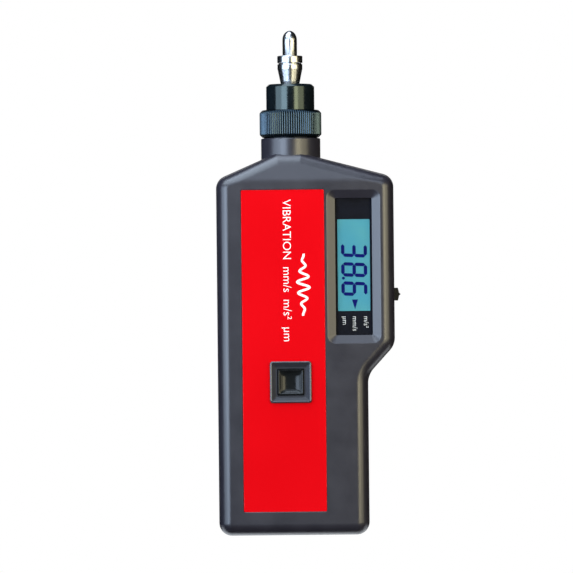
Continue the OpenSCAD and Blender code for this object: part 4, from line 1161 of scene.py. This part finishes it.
melt = add(floor_paint, "ShaderNodeMixShader", i0=fade.outputs["Result"], i1=lit_floor.outputs[0],
           i2=nothing.outputs[0])
join(floor_paint, melt.outputs[0], floor_paint.node_tree.nodes["Material Output"].inputs["Surface"])
dress(floor, floor_paint)
floor.visible_diffuse = False
print("floor ready")

# %% [markdown]
# Where the camera, a mirror or glass looks at the world, it is white. To the matt surfaces it is a
# dim even light, so that the lamps alone shape the object.

# %% World
even_light = 0.16
world = bpy.data.worlds.new("studio")
bpy.context.scene.world = world
world.use_nodes = True
background = world.node_tree.nodes["Background"]
background.inputs["Color"].default_value = (1, 1, 1, 1)
path = add(world, "ShaderNodeLightPath")
mirror_or_glass = add(world, "ShaderNodeMath", {"operation": "MAXIMUM"},
                      i0=path.outputs["Is Glossy Ray"], i1=path.outputs["Is Transmission Ray"])
looked_at = add(world, "ShaderNodeMath", {"operation": "MAXIMUM"}, i0=path.outputs["Is Camera Ray"],
                i1=mirror_or_glass.outputs[0])
strength = add(world, "ShaderNodeMapRange", Value=looked_at.outputs[0], To_Min=even_light, To_Max=1.0)
join(world, strength.outputs["Result"], background.inputs["Strength"])
print("world ready")

# %% [markdown]
# The two long bands on the casing's edges are soft boxes seen in its satin plastic: a cool one on
# the left and a warm one on the right, each with a dimmer wing beside it that softens the band's
# outer side. Boxes above light the shoulders, the neck and the ramp. Two fills light the back, and
# mirrors don't see them, because they would draw a white rim at the object's outline.

# %% Lamps
def soft_box(name, azimuth, elevation, colour, brightness, wide, high, aim_z=0.095, distance=0.7):
    """A lamp of a given brightness: its power is pi x brightness x area. It is placed by its angles
    from the camera's axis, to the right and up, and turned to the middle of the object."""
    lamp = bpy.data.lights.new(name, "AREA")
    lamp.shape, lamp.size, lamp.size_y = "RECTANGLE", wide, high
    lamp.energy, lamp.color = math.pi * brightness * wide * high, linear(colour)[:3]
    holder = bpy.data.objects.new(name, lamp)
    a, e = math.radians(azimuth), math.radians(elevation)
    holder.location = (math.sin(a) * math.cos(e) * distance, -math.cos(a) * math.cos(e) * distance,
                       aim_z + math.sin(e) * distance)
    holder.rotation_euler = (math.radians(90) - e, 0, a)
    bpy.context.scene.collection.objects.link(holder)
    return holder


soft_box("cool_soft_box", -29, 1, "#D2E6FF", 6.8, 0.34, 0.38, aim_z=0.12)
soft_box("cool_wing", -58, 1, "#D2E6FF", 3.6, 0.38, 0.38, aim_z=0.12)
soft_box("warm_soft_box", 28, 2, "#FFF4CA", 6.2, 0.22, 0.40, aim_z=0.12)
soft_box("warm_wing", 52, 2, "#FFF4CA", 2.5, 0.36, 0.40, aim_z=0.12)
soft_box("top_soft_box", -40, 54, "#D8EAFC", 4.7, 0.60, 0.52)
soft_box("top_wing", 4, 32, "#D8E8FF", 2.0, 0.50, 0.24)
soft_box("overhead_soft_box", -40, 82, "#DCEAFF", 4.2, 0.40, 0.34)
for side, angle in (("left", -145), ("right", 145)):
    fill = soft_box("back_fill_" + side, angle, 30, "#F4F6FF", 4.0, 0.46, 0.36)
    fill.visible_glossy = False
print("lamps ready")

# %% [markdown]
# Glossy black and steel would mirror the white world all over and lose their shape. So the object
# stands in a ring of black drape that only mirrors see, with a black card on the table in front of
# it and one overhead, as in a real product studio.

# %% The black drape and cards
def dark_flat(name, corners, faces=((0, 1, 2, 3),)):
    """A black card that only mirrors see. Corners are in metres."""
    card = add_mesh(name, corners, faces)
    velvet, shader = material_of("black_velvet_" + name, "#050505", Roughness=1.0, Specular_IOR_Level=0.0)
    mottled(velvet, shader, 50.0, "#040404", "#060606")
    dress(card, velvet)
    card.visible_camera = card.visible_diffuse = card.visible_shadow = False
    card.visible_transmission = False
    return card


def drape(name, a0, a1, distance=1.9, low=-0.9, high=1.2, steps=60):
    """A black drape on a rail: points at (d sin a, -d cos a), from angle a0 to a1 in degrees."""
    a = np.radians(np.linspace(a0, a1, steps + 1))
    x, y = distance * np.sin(a), -distance * np.cos(a)
    points = np.concatenate([np.stack([x, y, np.full(len(a), z)], -1) for z in (low, high)])
    k = np.arange(steps)
    return dark_flat(name, points, np.stack([k, k + 1, steps + 2 + k, steps + 1 + k], -1).tolist())


drape("drape", -164, 164)
card_x, card_near, card_far, card_z = 1.2, 0.012, -2.0, table_z * mm + 0.0001
dark_flat("table_flat", [(-card_x, card_near, card_z), (-card_x, card_far, card_z),
                         (card_x, card_far, card_z), (card_x, card_near, card_z)])
ceiling_half, ceiling_z = 2, 1.2
dark_flat("ceiling_flat", [(x * ceiling_half, y * ceiling_half, ceiling_z)
                           for x, y in ((-1, -1), (1, -1), (1, 1), (-1, 1))])
print("flats ready")
